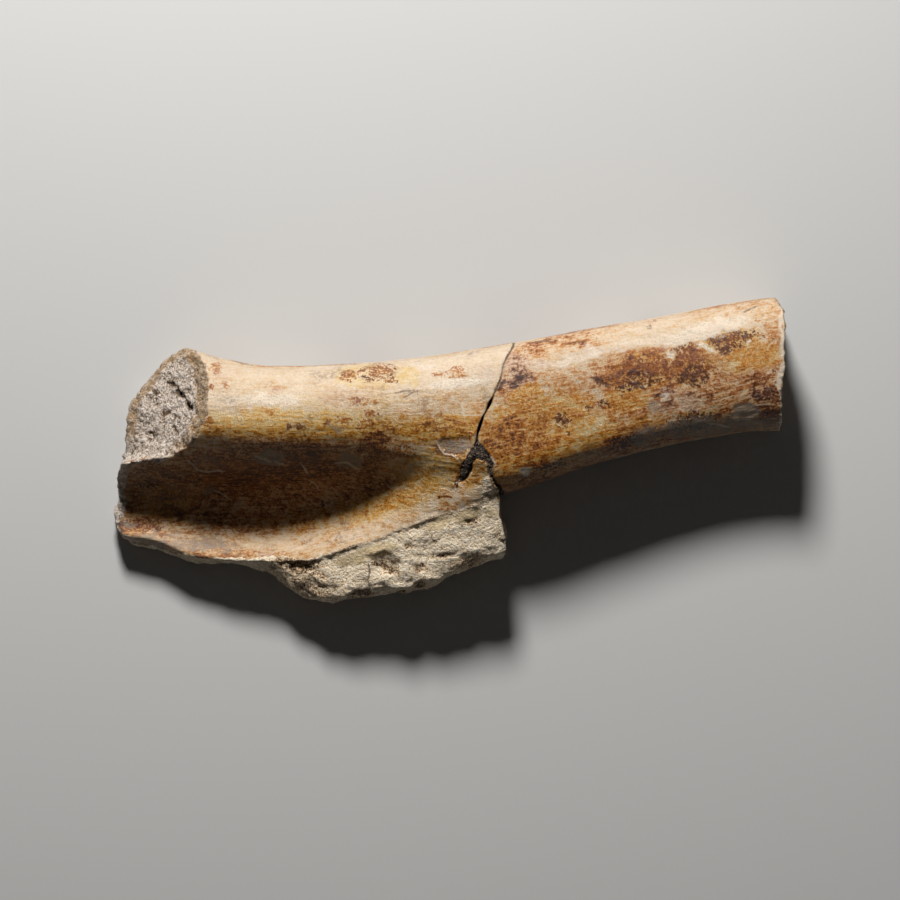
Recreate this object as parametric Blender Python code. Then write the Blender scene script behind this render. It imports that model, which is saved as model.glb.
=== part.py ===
"""A broken length of fossil dinosaur leg bone, lying on its back with its hollow side up.

The shaft, at +X, spreads at -X into a flange with a deep trough beside a thick rounded rim. The flange's
lower margin has broken off and shows the gritty inside of the bone. The bone was once snapped across and
has been joined again, with dark grit filling the widest part of the join.

Metres. +X runs along the bone towards the shaft's end, +Y towards the rim, and +Z up from the surface
that the bone lies on. The origin is under the middle of the bone.
"""

import math

import bmesh
import bpy
from mathutils import Vector, noise
from mathutils.bvhtree import BVHTree

MM = 0.001

# Edges that turn by more than this many degrees are shaded sharp
SHARP_ANGLE = 40

# Each piece's own plain colour and roughness
FLARED_LOOK = ((0.62, 0.50, 0.34), 0.6)
SHAFT_LOOK = ((0.60, 0.42, 0.24), 0.5)
GRIT_LOOK = ((0.10, 0.08, 0.065), 0.85)

# Lengthwise spacing of the sections, and the spacing of the points on a broken face
RING_STEP = 3.8
SHAFT_RING_STEP = 5.0
SHAFT_POINTS = 40
BREAK_STEP = 2.7

# The bone is shaped longer than it is and then broken off at both ends
OVERRUN = 6.0
LEFT_LIMIT = -122.0
RIGHT_LIMIT = 121.5
FLANGE_LIMIT = 26.0
SHAFT_START = 0.0

# Higher than anything on the bone, and about how high its front stands beside the join
OVERHEAD = 100.0
JOIN_FRONT = 32.0

# The flared end's long edges, each a curve through x, y, z in millimetres. In order round the section they
# are the rim's top side, its front, the trough's wall and floor, its rise to the lip, the step down to the
# broken margin and out to its edge, and the back
RAILS = {
    "top": [
        (-128, 43, 13), (-100, 38.2, 14), (-93, 36.4, 14), (-78.7, 32.4, 15),
        (-64, 30.3, 16), (-35.5, 31.0, 16.5), (-6.7, 33.8, 17.5),
    ],
    "front_high": [
        (-128, 32, 30.5), (-93, 28, 30.3), (-64, 24.3, 30.2), (-35, 25.3, 30.8), (-8, 27.3, 32),
    ],
    "apex": [
        (-128, 11, 37), (-93, 10.8, 36.6), (-64, 11.2, 35.8), (-35, 13.2, 36.2), (-10, 14.5, 37.3),
    ],
    "wall": [
        (-128, -3, 25), (-93, -3, 26), (-64, -3.2, 27), (-35, -1, 29.5), (-10, 1, 33.8),
    ],
    "floor": [
        (-128, -14.5, 8.5), (-93, -16, 8.2), (-64, -17.5, 8), (-35, -15, 13.5), (-10, -10, 26.5),
        (10, -9.5, 32.8),
    ],
    "slope": [
        (-128, -25, 7.5), (-93, -29, 8), (-64, -31, 8.8), (-35, -26.5, 14.8), (-10, -18, 24.8),
        (10, -14.3, 30.6),
    ],
    "lip": [
        (-128, -30, 11), (-107, -32.3, 12), (-93, -37.8, 13.5), (-71.5, -39.6, 16.5), (-53.5, -39.8, 19.2),
        (-35, -34.7, 21.5), (-25, -31.3, 22.6), (-10, -25.5, 24.8), (0, -22.2, 26.4), (10, -18, 28.2),
    ],
    "ledge": [
        (-128, -31, 9.5), (-107, -33.2, 10.8), (-93, -38.6, 12.3), (-71.5, -40.6, 15.3), (-53.5, -41.0, 17.9),
        (-35, -35.8, 20.5), (-25, -32.4, 21.7), (-10, -26.6, 24.0), (10, -19.1, 27.3), (25, -15, 26),
    ],
    "shelf": [
        (-128, -32, 8), (-107, -34.5, 9), (-93, -39.2, 10), (-79, -40.0, 10.8), (-71.5, -41.2, 11.8),
        (-64, -43.5, 13.2), (-57, -49, 14.8), (-50, -52.3, 16.2), (-35.5, -52.6, 18.8), (-21, -50, 20.8),
        (-6.7, -47.3, 22.0), (7.7, -40.6, 22.8), (20, -36.5, 22.8), (30, -34.5, 22.8),
    ],
    "edge": [
        (-128, -33, 6), (-107.5, -35.4, 6.5), (-100, -38.4, 6.5), (-93, -40.9, 6.5), (-79, -41.2, 6.5),
        (-71.5, -42.3, 7), (-64, -45.3, 7.5), (-57, -51.6, 8), (-50, -54.4, 8), (-35.5, -54.2, 8.5),
        (-21, -52, 9), (-6.7, -49.4, 9), (0.5, -45.6, 9), (7.7, -42.4, 9), (20, -39.0, 9), (30, -37, 9),
    ],
    "back_low": [
        (-128, -27, 1.5), (-93, -32, 1.2), (-64, -36, 0.4), (-35, -42, -0.6), (0, -33, 0.2), (30, -26, 1),
    ],
    "back_mid": [(-128, -12, 0.6), (-64, -14, 1.2), (-35, -14, 1.2), (-10, -10, 0.8)],
    "back_high": [(-128, 14, -0.7), (-64, 12, -0.7), (-35, 12.5, -0.6), (-10, 13.5, -0.5)],
    "top_back": [(-128, 37, 4), (-93, 31, 4.5), (-64, 26, 5), (-35, 27, 5.2), (-10, 29.5, 5.4)],
}

# Near the join these edges run onto the shaft's oval: the angle on it, in degrees from straight up
# towards the rim, and the x from which the edge follows it
EDGES_ON_OVAL = {
    "top": (90, 10), "front_high": (50, 10), "apex": (10, 10), "wall": (-17, 10), "floor": (-42, 27),
    "slope": (-62, 27), "lip": (-76, 27), "back_mid": (205, 10), "back_high": (172, 10), "top_back": (128, 10),
}
OVAL_RUN = 15.0

# Faces from each edge to the next, and how rounded the section is where it isn't wholly round
SPANS = {
    "top": 4, "front_high": 4, "apex": 4, "wall": 5, "floor": 3, "slope": 3, "lip": 1, "ledge": 7,
    "shelf": 2, "edge": 3, "back_low": 4, "back_mid": 5, "back_high": 4, "top_back": 3,
}
ROUNDNESS = {"lip": 0.4, "ledge": 0.2, "shelf": 0.35, "edge": 0.6}

# The shaft's oval: x, then its upper and lower edge along y, and its lowest and highest point along z
SHAFT = [
    (0, 34.9, -20.0, -0.5, 37.4), (25, 38.7, -14.6, -0.3, 37.9), (50.9, 43.6, -5.8, -0.5, 37.0),
    (79.7, 48.6, 1.6, -0.8, 36.0), (94, 51.3, 4.2, -0.8, 36.0), (108.5, 53.8, 6.4, -0.8, 36.4),
    (130, 56.0, 6.6, -0.8, 37.2),
]
SHAFT_SQUARENESS = 2.55

# The join: where it runs, x for each y, and how wide it gapes there. Low down it closes up
JOIN_PATH = [
    (-46, 19.5), (-34, 20.2), (-25, 19.2), (-16.9, 18.7), (-14, 18.4), (-12.6, 17.2), (-10.5, 15.9),
    (-8, 15.2), (-4.8, 14.7), (-2.1, 11.9), (0.6, 10.9), (3.6, 10.0), (7.3, 10.8), (10.9, 12.0),
    (14.4, 13.8), (18, 15.4), (21.5, 17.2), (25.2, 18.6), (31.7, 20.1), (37.8, 23.6), (46, 26),
]
JOIN_GAPE = [
    (-46, 0.5), (-20, 1.1), (-16.9, 1.7), (-14, 2.0), (-10.5, 1.6), (-8, 1.9), (-4.8, 2.7), (-2.1, 6.2),
    (0.6, 4.6), (2.6, 1.7), (4.5, 0.6), (8, 0.8), (11, 0.8), (13, 0.5), (15.5, 1.1), (17, 0.9),
    (18.5, 0.45), (46, 0.45),
]
SNUG_GAPE = 0.4
GAPE_BOTTOM, GAPE_FADE = 5.0, 5.0

# Only a slot this wide runs deep into the bone. Where the join gapes more, its edges are chipped away
SLOT_GAPE = 2.0
CHIP_BOTTOM, CHIP_FADE = 17.0, 9.0

# On the bone's back the join wanders
WANDER, WANDER_BREADTH, WANDER_RISE = 3.5, 14.0, 30.0
WANDER_TOP, WANDER_FADE = 13.0, 10.0
FREE_SIDE_BELOW, FREE_SIDE_FADE = -17.0, 4.0

# The crack that leaves the join and runs down the flange: x, y and its half width
BRANCH = [(9.3, -1.0, 1.6), (7.2, -4.2, 1.15), (6.2, -6.9, 1.6), (5.4, -9.3, 0.9), (4.4, -10.8, 0.4)]
BRANCH_SIDES = 8
BRANCH_SHARE_SUNK = 0.55
BRANCH_DEPTH_SHARE = 1.9
BRANCH_OPEN_SHARE = 3.0

# The grit: its clearance from the bone, how far it lies below the surface, how deep and how low it may
# reach, and its reach along y
GRIT_CLEARANCE = 0.45
GRIT_SUNK = 0.7
GRIT_DEPTH = 12.0
GRIT_BOTTOM = 12.0
GRIT_REACH = (-15.8, 2.6)
GRIT_LAYERS = 5
GRIT_LUMP = 0.5

# The broken ends: the flange's edge, x for each y, and the shaft's end, x for each y
FLANGE_END = [
    (-44, -104), (-38, -108), (-35.3, -112), (-32, -117.5), (-27, -120.0), (-22.5, -121), (-18, -119),
    (-13.7, -119.7), (-9.4, -119), (-1.8, -116.5), (6, -116),
]
SHAFT_END = [
    (0, 118.6), (6.5, 119.0), (14.4, 118.6), (21.6, 118.4), (30.6, 119.2), (39.6, 119.8), (48, 119.8),
    (51.5, 119.0), (54, 117.2), (58, 115),
]

# The rim's broken end slants: x on its front for each y and z, and x low down for each y
RIM_FACE_X, RIM_FACE_PER_Z, RIM_FACE_PER_Y = -113.5, 0.62, 0.33
RIM_LOW_EDGE = [
    (-6, -118), (-2.2, -117.2), (2.2, -116.4), (10.8, -116), (15.1, -115.3), (19.4, -112.9),
    (23.8, -109.3), (28.1, -105.5), (32.4, -102), (36.7, -95), (44, -84),
]
RIM_LOW_TOP, RIM_LOW_FADE = 24.0, 16.0
RIM_FOOT, RIM_FOOT_WIDTH = -3.4, 1.6

# The shaft's end is dished inside its dense wall, which is this share of the way from the middle
CORE_DISH = 2.2
WALL_FROM, WALL_FADE = 0.84, 0.2

# The lumps on broken bone: the breadth of the coarse and the fine ones, how they fade and shrink from one
# layer to the next, the number of layers, and the height of both in each place
LUMP_BREADTHS = (6.5, 3.2)
LUMP_FADE, LUMP_SHRINK, LUMP_LAYERS = 0.9, 2.1, 3
RIM_FACE_LUMPS = (1.3, 1.1)
FLANGE_END_LUMPS = (0.0, 0.7)
FLANGE_SIDE_LUMPS = (1.3, 0.0)
SHAFT_WALL_LUMPS = (0.5, 0.35)
SHAFT_CORE_LUMPS = (1.0, 0.5)
MARGIN_LUMPS = (1.5, 0.8)
MARGIN_FROM, MARGIN_FADE = -80.0, 22.0
MARGIN_LEAST = 0.25
MARGIN_BLEND_IN, MARGIN_BLEND_OUT = 4, 3
HOLLOW = {"x": -21.5, "y": -41.0, "long": 5.4, "wide": 3.0, "deep": 4.4}
HOLLOW_BRINK = 1.5

# Where in the noise each of these reads its lumps. The flange's free side shares the rim's
RIM_PATCH, GRIT_PATCH, FLANGE_PATCH, WALL_PATCH, CORE_PATCH, WANDER_PATCH = 0, 5, 9, 20, 24, 4

# How far the blocks that break the bone reach past it, along y and z
BREAK_Y, BREAK_Z = (-62.0, 66.0), (-6.0, 44.0)
BREAK_REACH = 20.0

# Where the join is open, its faces have this many times as many rows of points
OPEN_FROM, OPEN_TO = -16.0, 3.0
OPEN_ROWS = 3


def along(stations, x):
    """The values at x on smooth curves through the stations, each of them x followed by its values."""
    count = len(stations)
    x = max(stations[0][0], min(stations[-1][0], x))
    i = max(0, min(count - 2, sum(1 for s in stations if s[0] <= x) - 1))
    before, start, end, after = (stations[max(0, min(count - 1, k))] for k in (i - 1, i, i + 1, i + 2))
    width = end[0] - start[0]
    t = (x - start[0]) / width
    h00, h10 = 2 * t**3 - 3 * t**2 + 1, t**3 - 2 * t**2 + t
    h01, h11 = 3 * t**2 - 2 * t**3, t**3 - t**2
    found = []
    for k in range(1, len(start)):
        slope_start = (end[k] - before[k]) / (end[0] - before[0])
        slope_end = (after[k] - start[k]) / (after[0] - start[0])
        found.append(h00 * start[k] + h10 * width * slope_start + h01 * end[k] + h11 * width * slope_end)
    return found


def ease(t):
    """0 below 0, 1 above 1, and smooth between."""
    t = max(0.0, min(1.0, t))
    return t * t * (3 - 2 * t)


def lumps(x, y, z, heights):
    """Uneven relief, coarse and fine, with these heights in millimetres."""
    place = Vector((x, y, z))
    return sum(
        height * noise.fractal(place / breadth, LUMP_FADE, LUMP_SHRINK, LUMP_LAYERS)
        for breadth, height in zip(LUMP_BREADTHS, heights)
    )


def shaft_point(x, degrees):
    """A point y, z on the shaft's oval, at an angle from straight up towards the rim."""
    top, bottom, low, high = along(SHAFT, x)
    power = 2 / SHAFT_SQUARENESS
    s, c = math.sin(math.radians(degrees)), math.cos(math.radians(degrees))
    y = (top + bottom) / 2 + (top - bottom) / 2 * math.copysign(abs(s) ** power, s)
    z = (high + low) / 2 + (high - low) / 2 * math.copysign(abs(c) ** power, c)
    return y, z


def rail_stations(name):
    """An edge's own stations, carried on over the shaft's oval where the edge runs onto it."""
    stations = list(RAILS[name])
    if name in EDGES_ON_OVAL:
        angle, joins_at = EDGES_ON_OVAL[name]
        for x in (joins_at, joins_at + OVAL_RUN):
            stations.append((x, *shaft_point(x, angle)))
    return stations


def flared_section(x):
    """The flared end's outline at x: the landmarks on the rails, joined by a smooth closed curve."""
    names = list(RAILS)
    marks = [Vector(along(rail_stations(name), x)) for name in names]
    outline = []
    for i, name in enumerate(names):
        follower = (i + 1) % len(names)
        start, end = marks[i], marks[follower]
        reach = (end - start).length
        tangents = []
        for k in (i, follower):
            before, after = marks[k - 1], marks[(k + 1) % len(names)]
            tangents.append((after - before).normalized() * reach * ROUNDNESS.get(names[k], 1.0))
        for step in range(SPANS[name]):
            t = step / SPANS[name]
            point = (
                start * (2 * t**3 - 3 * t**2 + 1)
                + tangents[0] * (t**3 - 2 * t**2 + t)
                + end * (3 * t**2 - 2 * t**3)
                + tangents[1] * (t**3 - t**2)
            )
            outline.append((point.x, point.y))
    return outline


def shaft_section(x):
    """The shaft's outline at x."""
    return [shaft_point(x, 360 * i / SHAFT_POINTS) for i in range(SHAFT_POINTS)]


def grid_faces(mesh, rows):
    """Faces between the neighbouring points of each row and the next."""
    for row, following in zip(rows, rows[1:]):
        for k in range(len(row) - 1):
            mesh.faces.new((row[k], row[k + 1], following[k + 1], following[k]))


def skin_rings(mesh, rings):
    """Closes a run of rings into a solid with a face on each end."""
    grid_faces(mesh, [[*ring, ring[0]] for ring in rings])
    mesh.faces.new(rings[0])
    mesh.faces.new(rings[-1])
    bmesh.ops.recalc_face_normals(mesh, faces=mesh.faces)


def lofted(section, x_from, x_to, step):
    """A closed skin through the sections between two places along the bone, in millimetres."""
    mesh = bmesh.new()
    count = round((x_to - x_from) / step)
    rings = []
    for i in range(count + 1):
        x = x_from + (x_to - x_from) * i / count
        rings.append([mesh.verts.new((x, y, z)) for y, z in section(x)])
    skin_rings(mesh, rings)
    return mesh


def roughen_margin(mesh):
    """Lumps and one deep hollow on the flange's broken margin, from under the lip round to the back."""
    names = list(SPANS)
    first = sum(SPANS[name] for name in names[: names.index("ledge")])
    last = sum(SPANS[name] for name in names[: names.index("back_low")])
    mesh.verts.ensure_lookup_table()
    mesh.normal_update()
    moves = []
    for vertex in mesh.verts:
        place = vertex.index % sum(SPANS.values())
        if first < place < last:
            x, y, z = vertex.co
            inside = ease((place - first) / MARGIN_BLEND_IN) * ease((last - place) / MARGIN_BLEND_OUT)
            broad = ease((x - MARGIN_FROM) / MARGIN_FADE) * inside
            height = lumps(x, y, z, MARGIN_LUMPS) * (MARGIN_LEAST + (1 - MARGIN_LEAST) * broad)
            out = math.hypot((x - HOLLOW["x"]) / HOLLOW["long"], (y - HOLLOW["y"]) / HOLLOW["wide"])
            sunk = Vector((0, 0, -HOLLOW["deep"] * ease(HOLLOW_BRINK - out)))
            moves.append((vertex, vertex.normal * height + sunk))
    for vertex, move in moves:
        vertex.co += move


def flatten_rest(mesh):
    """Cuts the back off level where the bone rests, at z = 0."""
    everything = [*mesh.verts, *mesh.edges, *mesh.faces]
    bmesh.ops.bisect_plane(mesh, geom=everything, plane_co=(0, 0, 0), plane_no=(0, 0, -1), clear_outer=True)
    bmesh.ops.holes_fill(mesh, edges=[e for e in mesh.edges if e.is_boundary])
    bmesh.ops.recalc_face_normals(mesh, faces=mesh.faces)


def join_x(y, z):
    """Where the join's middle lies."""
    wander = WANDER * noise.noise(Vector((y / WANDER_BREADTH, WANDER_PATCH, z / WANDER_RISE)))
    return along(JOIN_PATH, y)[0] + wander * ease((WANDER_TOP - z) / WANDER_FADE)


def join_gape(y, z):
    """How wide the join gapes: a deep slot, and what is wider than the slot only near the front."""
    wide = along(JOIN_GAPE, y)[0]
    slot = max(0.0, min(wide, SLOT_GAPE) - SNUG_GAPE) * ease((z - GAPE_BOTTOM) / GAPE_FADE)
    chipped = max(0.0, wide - SLOT_GAPE) * ease((z - CHIP_BOTTOM) / CHIP_FADE)
    return SNUG_GAPE + slot + chipped


def join_left(y, z):
    """The flared end's side of the join, which runs on as the flange's rough free side."""
    free_side = ease((FREE_SIDE_BELOW - y) / FREE_SIDE_FADE)
    return join_x(y, z) - join_gape(y, z) / 2 + lumps(RIM_PATCH, y, z, FLANGE_SIDE_LUMPS) * free_side


def join_right(y, z):
    """The shaft's side of the join."""
    return join_x(y, z) + join_gape(y, z) / 2


def rim_face(y, z):
    """The rim's broken end, which slants in front and stands nearly upright low down."""
    slanted = RIM_FACE_X + RIM_FACE_PER_Z * z + RIM_FACE_PER_Y * y
    low = along(RIM_LOW_EDGE, y)[0]
    face = slanted + (low - slanted) * ease((RIM_LOW_TOP - z) / RIM_LOW_FADE)
    return face + lumps(RIM_PATCH, y, z, RIM_FACE_LUMPS)


def left_end(y, z):
    """The broken left end: the rim's face above, the flange's thin edge below, and a ledge between."""
    edge = along(FLANGE_END, y)[0] + lumps(FLANGE_PATCH, y, z, FLANGE_END_LUMPS)
    return edge + (rim_face(y, z) - edge) * ease((y - RIM_FOOT) / RIM_FOOT_WIDTH)


def shaft_end(y, z):
    """The broken right end."""
    top, bottom, low, high = along(SHAFT, RIGHT_LIMIT)
    across = (2 * y - top - bottom) / (top - bottom)
    up = (2 * z - high - low) / (high - low)
    core = ease((WALL_FROM - math.hypot(across, up)) / WALL_FADE)
    rough = lumps(WALL_PATCH, y, z, SHAFT_WALL_LUMPS) + core * lumps(CORE_PATCH, y, z, SHAFT_CORE_LUMPS)
    return along(SHAFT_END, y)[0] - CORE_DISH * core + rough


def row_places(open_rows=1):
    """Where along y a broken face has its rows of points."""
    count = round((BREAK_Y[1] - BREAK_Y[0]) / BREAK_STEP)
    step = (BREAK_Y[1] - BREAK_Y[0]) / count
    places = []
    for i in range(count + 1):
        y = BREAK_Y[0] + step * i
        parts = open_rows if OPEN_FROM < y < OPEN_TO else 1
        places.extend(y + step * k / parts for k in range(parts))
    return places


def breaker(name, face, far_x, open_rows=1):
    """A block for cutting with. One side is a broken face, x for each y and z, and it reaches to far_x."""
    columns = round((BREAK_Z[1] - BREAK_Z[0]) / BREAK_STEP)
    mesh = bmesh.new()
    grid = []
    for y in row_places(open_rows):
        heights = [BREAK_Z[0] + (BREAK_Z[1] - BREAK_Z[0]) * k / columns for k in range(columns + 1)]
        grid.append([mesh.verts.new((face(y, z), y, z)) for z in heights])
    grid_faces(mesh, grid)
    near = [*grid[0], *(row[-1] for row in grid[1:-1]), *reversed(grid[-1]), *(row[0] for row in grid[-2:0:-1])]
    far = [mesh.verts.new((far_x, corner.co.y, corner.co.z)) for corner in near]
    grid_faces(mesh, [[*near, near[0]], [*far, far[0]]])
    mesh.faces.new(far)
    bmesh.ops.recalc_face_normals(mesh, faces=mesh.faces)
    return as_object(name, mesh, cutter=True)


def branch_bar(front, grown=0.0, up_share=1.0):
    """A bar along the branch crack, just under the bone's front. A groove's bar is grown, and open above."""
    mesh = bmesh.new()
    rings = []
    last = len(BRANCH) - 1
    for i, (x, y, half) in enumerate(BRANCH):
        before, after = BRANCH[max(0, i - 1)], BRANCH[min(last, i + 1)]
        onward = Vector((after[0] - before[0], after[1] - before[1], 0)).normalized()
        across = Vector((-onward.y, onward.x, 0))
        middle = Vector((x, y, front(x, y) - GRIT_SUNK - half * BRANCH_SHARE_SUNK))
        middle += onward * {0: -grown, last: grown}.get(i, 0.0)
        ring = []
        for k in range(BRANCH_SIDES):
            turn = 2 * math.pi * k / BRANCH_SIDES
            share = BRANCH_DEPTH_SHARE if math.sin(turn) < 0 else up_share
            up = Vector((0, 0, (half * share + grown) * math.sin(turn)))
            ring.append(mesh.verts.new(middle + across * (half + grown) * math.cos(turn) + up))
        rings.append(ring)
    skin_rings(mesh, rings)
    return mesh


def grit_wedge(front):
    """The grit in the open part of the join, between its two faces and a little below the surface."""
    mesh = bmesh.new()
    rings = []
    for y in row_places(OPEN_ROWS):
        if not GRIT_REACH[0] < y < GRIT_REACH[1]:
            continue
        uneven = lumps(GRIT_PATCH, 2 * y, 0, (0, GRIT_LUMP))
        top = front(join_x(y, JOIN_FRONT), y) - GRIT_SUNK + uneven
        bottom = max(top - GRIT_DEPTH, GRIT_BOTTOM)
        heights = [top + (bottom - top) * k / GRIT_LAYERS for k in range(GRIT_LAYERS + 1)]
        left = [mesh.verts.new((join_left(y, z) + GRIT_CLEARANCE, y, z)) for z in heights]
        right = [mesh.verts.new((join_right(y, z) - GRIT_CLEARANCE, y, z)) for z in heights]
        rings.append([*left, *reversed(right)])
    skin_rings(mesh, rings)
    return mesh


def as_object(name, mesh, cutter=False):
    """Scales a mesh from millimetres to metres, splits it into triangles and puts it in the scene."""
    data = bpy.data.meshes.new(name)
    bmesh.ops.triangulate(mesh, faces=mesh.faces)
    bmesh.ops.scale(mesh, vec=(MM, MM, MM), verts=mesh.verts)
    mesh.to_mesh(data)
    mesh.free()
    data.shade_smooth()
    data.set_sharp_from_angle(angle=math.radians(SHARP_ANGLE))
    made = bpy.data.objects.new(name, data)
    bpy.context.scene.collection.objects.link(made)
    if cutter:
        made.hide_render = True
        made.display_type = "WIRE"
    return made


def cut(piece, tool, operation="DIFFERENCE"):
    """Cuts a piece with another shape, or joins that shape to it."""
    boolean = piece.modifiers.new(f"{operation.lower()}_{tool.name}", "BOOLEAN")
    boolean.operation = operation
    boolean.object = tool


def surface_height(mesh):
    """The height of a mesh's upper surface over any x, y in millimetres."""
    tree = BVHTree.FromBMesh(mesh)

    def height(x, y):
        hit = tree.ray_cast(Vector((x, y, OVERHEAD)), Vector((0, 0, -1)))[0]
        return hit.z

    return height


def finish(piece, colour, roughness):
    """Gives a piece its own plain material."""
    material = bpy.data.materials.new(piece.name)
    material.use_nodes = True
    shader = material.node_tree.nodes["Principled BSDF"]
    shader.inputs["Base Color"].default_value = (*colour, 1)
    shader.inputs["Roughness"].default_value = roughness
    shader.inputs["Metallic"].default_value = 0.0
    material.diffuse_color = (*colour, 1)
    piece.data.materials.append(material)


def centre_over_origin(pieces):
    """Shifts everything level, so that the middle of the pieces' box stands over the origin."""
    graph = bpy.context.evaluated_depsgraph_get()
    corners = [Vector(corner) for piece in pieces for corner in piece.evaluated_get(graph).bound_box]
    middle = [(min(c[axis] for c in corners) + max(c[axis] for c in corners)) / 2 for axis in (0, 1)]
    for made in bpy.data.objects:
        made.location -= Vector((*middle, 0))


for leftover in list(bpy.data.objects):
    bpy.data.objects.remove(leftover)

# Flared end: the rim, the trough and the flange with its broken margin
flared_mesh = lofted(flared_section, LEFT_LIMIT - OVERRUN, FLANGE_LIMIT, RING_STEP)
roughen_margin(flared_mesh)
flatten_rest(flared_mesh)
flared_front = surface_height(flared_mesh)
flared_end = as_object("flared_end", flared_mesh)
cut(flared_end, breaker("left_break", left_end, LEFT_LIMIT - BREAK_REACH))
cut(flared_end, breaker("join_left_side", join_left, FLANGE_LIMIT + BREAK_REACH, OPEN_ROWS))
groove_mesh = branch_bar(flared_front, GRIT_CLEARANCE, BRANCH_OPEN_SHARE)
cut(flared_end, as_object("branch_groove", groove_mesh, cutter=True))
finish(flared_end, *FLARED_LOOK)

# Shaft: a plain oval length of bone, broken off at the right
shaft_mesh = lofted(shaft_section, SHAFT_START, RIGHT_LIMIT + OVERRUN, SHAFT_RING_STEP)
flatten_rest(shaft_mesh)
shaft_front = surface_height(shaft_mesh)
shaft = as_object("shaft", shaft_mesh)
cut(shaft, breaker("join_right_side", join_right, -BREAK_REACH, OPEN_ROWS))
cut(shaft, breaker("right_break", shaft_end, RIGHT_LIMIT + BREAK_REACH))
finish(shaft, *SHAFT_LOOK)

# Join grit: one dark filling, in the gape of the join and in the crack that branches from it
join_grit = as_object("join_grit", grit_wedge(shaft_front))
cut(join_grit, as_object("branch_grit", branch_bar(flared_front), cutter=True), "UNION")
finish(join_grit, *GRIT_LOOK)

centre_over_origin([flared_end, shaft, join_grit])
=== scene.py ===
"""A broken length of fossil dinosaur leg bone, lying on its back on a pale table with its hollow side up.

Sizes are in millimetres, and marks on the bone are placed by where the camera sees them, in the picture's
pixels from its top left corner.
"""

import math

import bpy
import numpy as np
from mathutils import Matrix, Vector, noise
from mathutils.kdtree import KDTree


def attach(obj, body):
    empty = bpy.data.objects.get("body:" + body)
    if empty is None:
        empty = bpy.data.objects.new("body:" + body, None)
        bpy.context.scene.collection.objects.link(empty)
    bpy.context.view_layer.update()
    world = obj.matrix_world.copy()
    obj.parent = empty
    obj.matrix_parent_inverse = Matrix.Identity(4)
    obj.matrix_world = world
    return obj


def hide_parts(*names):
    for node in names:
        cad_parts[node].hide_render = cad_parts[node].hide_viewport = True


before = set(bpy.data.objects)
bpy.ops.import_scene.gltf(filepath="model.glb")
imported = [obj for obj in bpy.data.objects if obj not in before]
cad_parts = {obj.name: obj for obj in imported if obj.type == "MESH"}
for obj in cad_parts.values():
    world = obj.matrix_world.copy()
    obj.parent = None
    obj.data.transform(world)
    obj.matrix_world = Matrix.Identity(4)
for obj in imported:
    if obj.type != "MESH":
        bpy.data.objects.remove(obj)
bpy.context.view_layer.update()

# Camera: a long lens looks straight down on the bone, with the thick rim at the top of the picture. It
# stands far off, so that the bone's high and low parts keep their true sizes
MM = 0.001
CAMERA_X, CAMERA_Y, CAMERA_Z = 1.0, 0.2, 1636.0
LENS, SENSOR, SIGHT = 180.0, 36.0, 20000.0
PICTURE = 900

camera_data = bpy.data.cameras.new("camera")
camera_data.lens = LENS
camera_data.sensor_width = SENSOR
camera_data.clip_end = SIGHT * MM
camera = bpy.data.objects.new("camera", camera_data)
camera.location = (CAMERA_X * MM, CAMERA_Y * MM, CAMERA_Z * MM)
bpy.context.scene.collection.objects.link(camera)
bpy.context.scene.camera = camera

# Flared end: the left piece of the bone. Its outside is dense, slightly glossy bone, cream with ochre and
# brown stains. Its left end and its lower margin are broken and show the gritty, spongy inside. It was
# glued to the shaft along the join
FLARED_NET = 0.64
FLARED_TILT = 0
FLARED_RUST = 0.0
FLARED_GROUND = 0.12
MERGE = 0.001
SMOOTH_TIMES, SMOOTH_STEP = 22, 0.5

# The join in millimetres across and up the bone, where its open part begins, ends and tapers off, and how
# wide the sharp edges beside it are. Its faces close up to a hairline, and its open part has small crumbs
JOIN_LINE = [
    (19.5, -46), (20.2, -34), (19.2, -25), (18.7, -16.9), (18.4, -14), (17.2, -12.6), (15.9, -10.5),
    (15.2, -8), (14.7, -4.8), (11.9, -2.1), (10.9, 0.6), (10.0, 3.6), (10.8, 7.3), (12.0, 10.9),
    (13.8, 14.4), (15.4, 18), (17.2, 21.5), (18.6, 25.2), (20.1, 31.7), (23.6, 37.8), (26, 46),
]
JOIN_OPEN_FROM, JOIN_OPEN_TO, JOIN_TAPER = -17.0, 5.0, 2.0
JOIN_EDGE_CLOSED, JOIN_EDGE_OPEN, JOIN_EDGE_BLUR = 1.6, 4.0, 0.25
JOIN_CLOSES = 0.185
JOIN_CRUMB, JOIN_CRUMB_SIZE = 0.4, 1.6

# Outlines seen in the picture: the rim's broken face, the strip of broken bone below it, the lip that parts
# the smooth trough from the broken margin, and the margin's corner at the join
RIM_FACE = [
    (127, 458), (126, 446), (127, 430), (127, 418), (128, 408), (131, 402), (137, 394), (145, 386),
    (152, 378), (158, 368), (163, 361), (169, 355), (175, 351), (178, 346), (185, 345), (193, 346),
    (200, 356), (204, 365), (207, 373), (208, 383), (208.5, 392), (208, 402), (207.5, 412), (206, 420),
    (201, 427), (199, 433), (195, 442), (188, 447), (180, 450), (172, 456), (166, 459), (162.5, 462),
    (158, 464), (152, 461), (147, 460), (143, 461), (140, 463), (135, 463), (130, 463),
]
LEFT_STRIP = [
    (122, 446), (131, 458), (129, 470), (127, 480), (125, 490), (127, 500), (124, 515), (118, 522),
    (108, 522), (108, 495), (112, 470),
]
LIP_LINE = [
    (100, 541), (128, 541), (150, 545), (170, 550), (190, 555), (210, 558), (230, 557), (250, 558),
    (268, 556), (283, 555), (300, 559), (316, 557), (330, 552), (354, 543), (375, 539), (398, 529),
    (419, 521), (434, 515), (457, 510), (475, 503), (489, 496), (510, 489),
]
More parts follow.
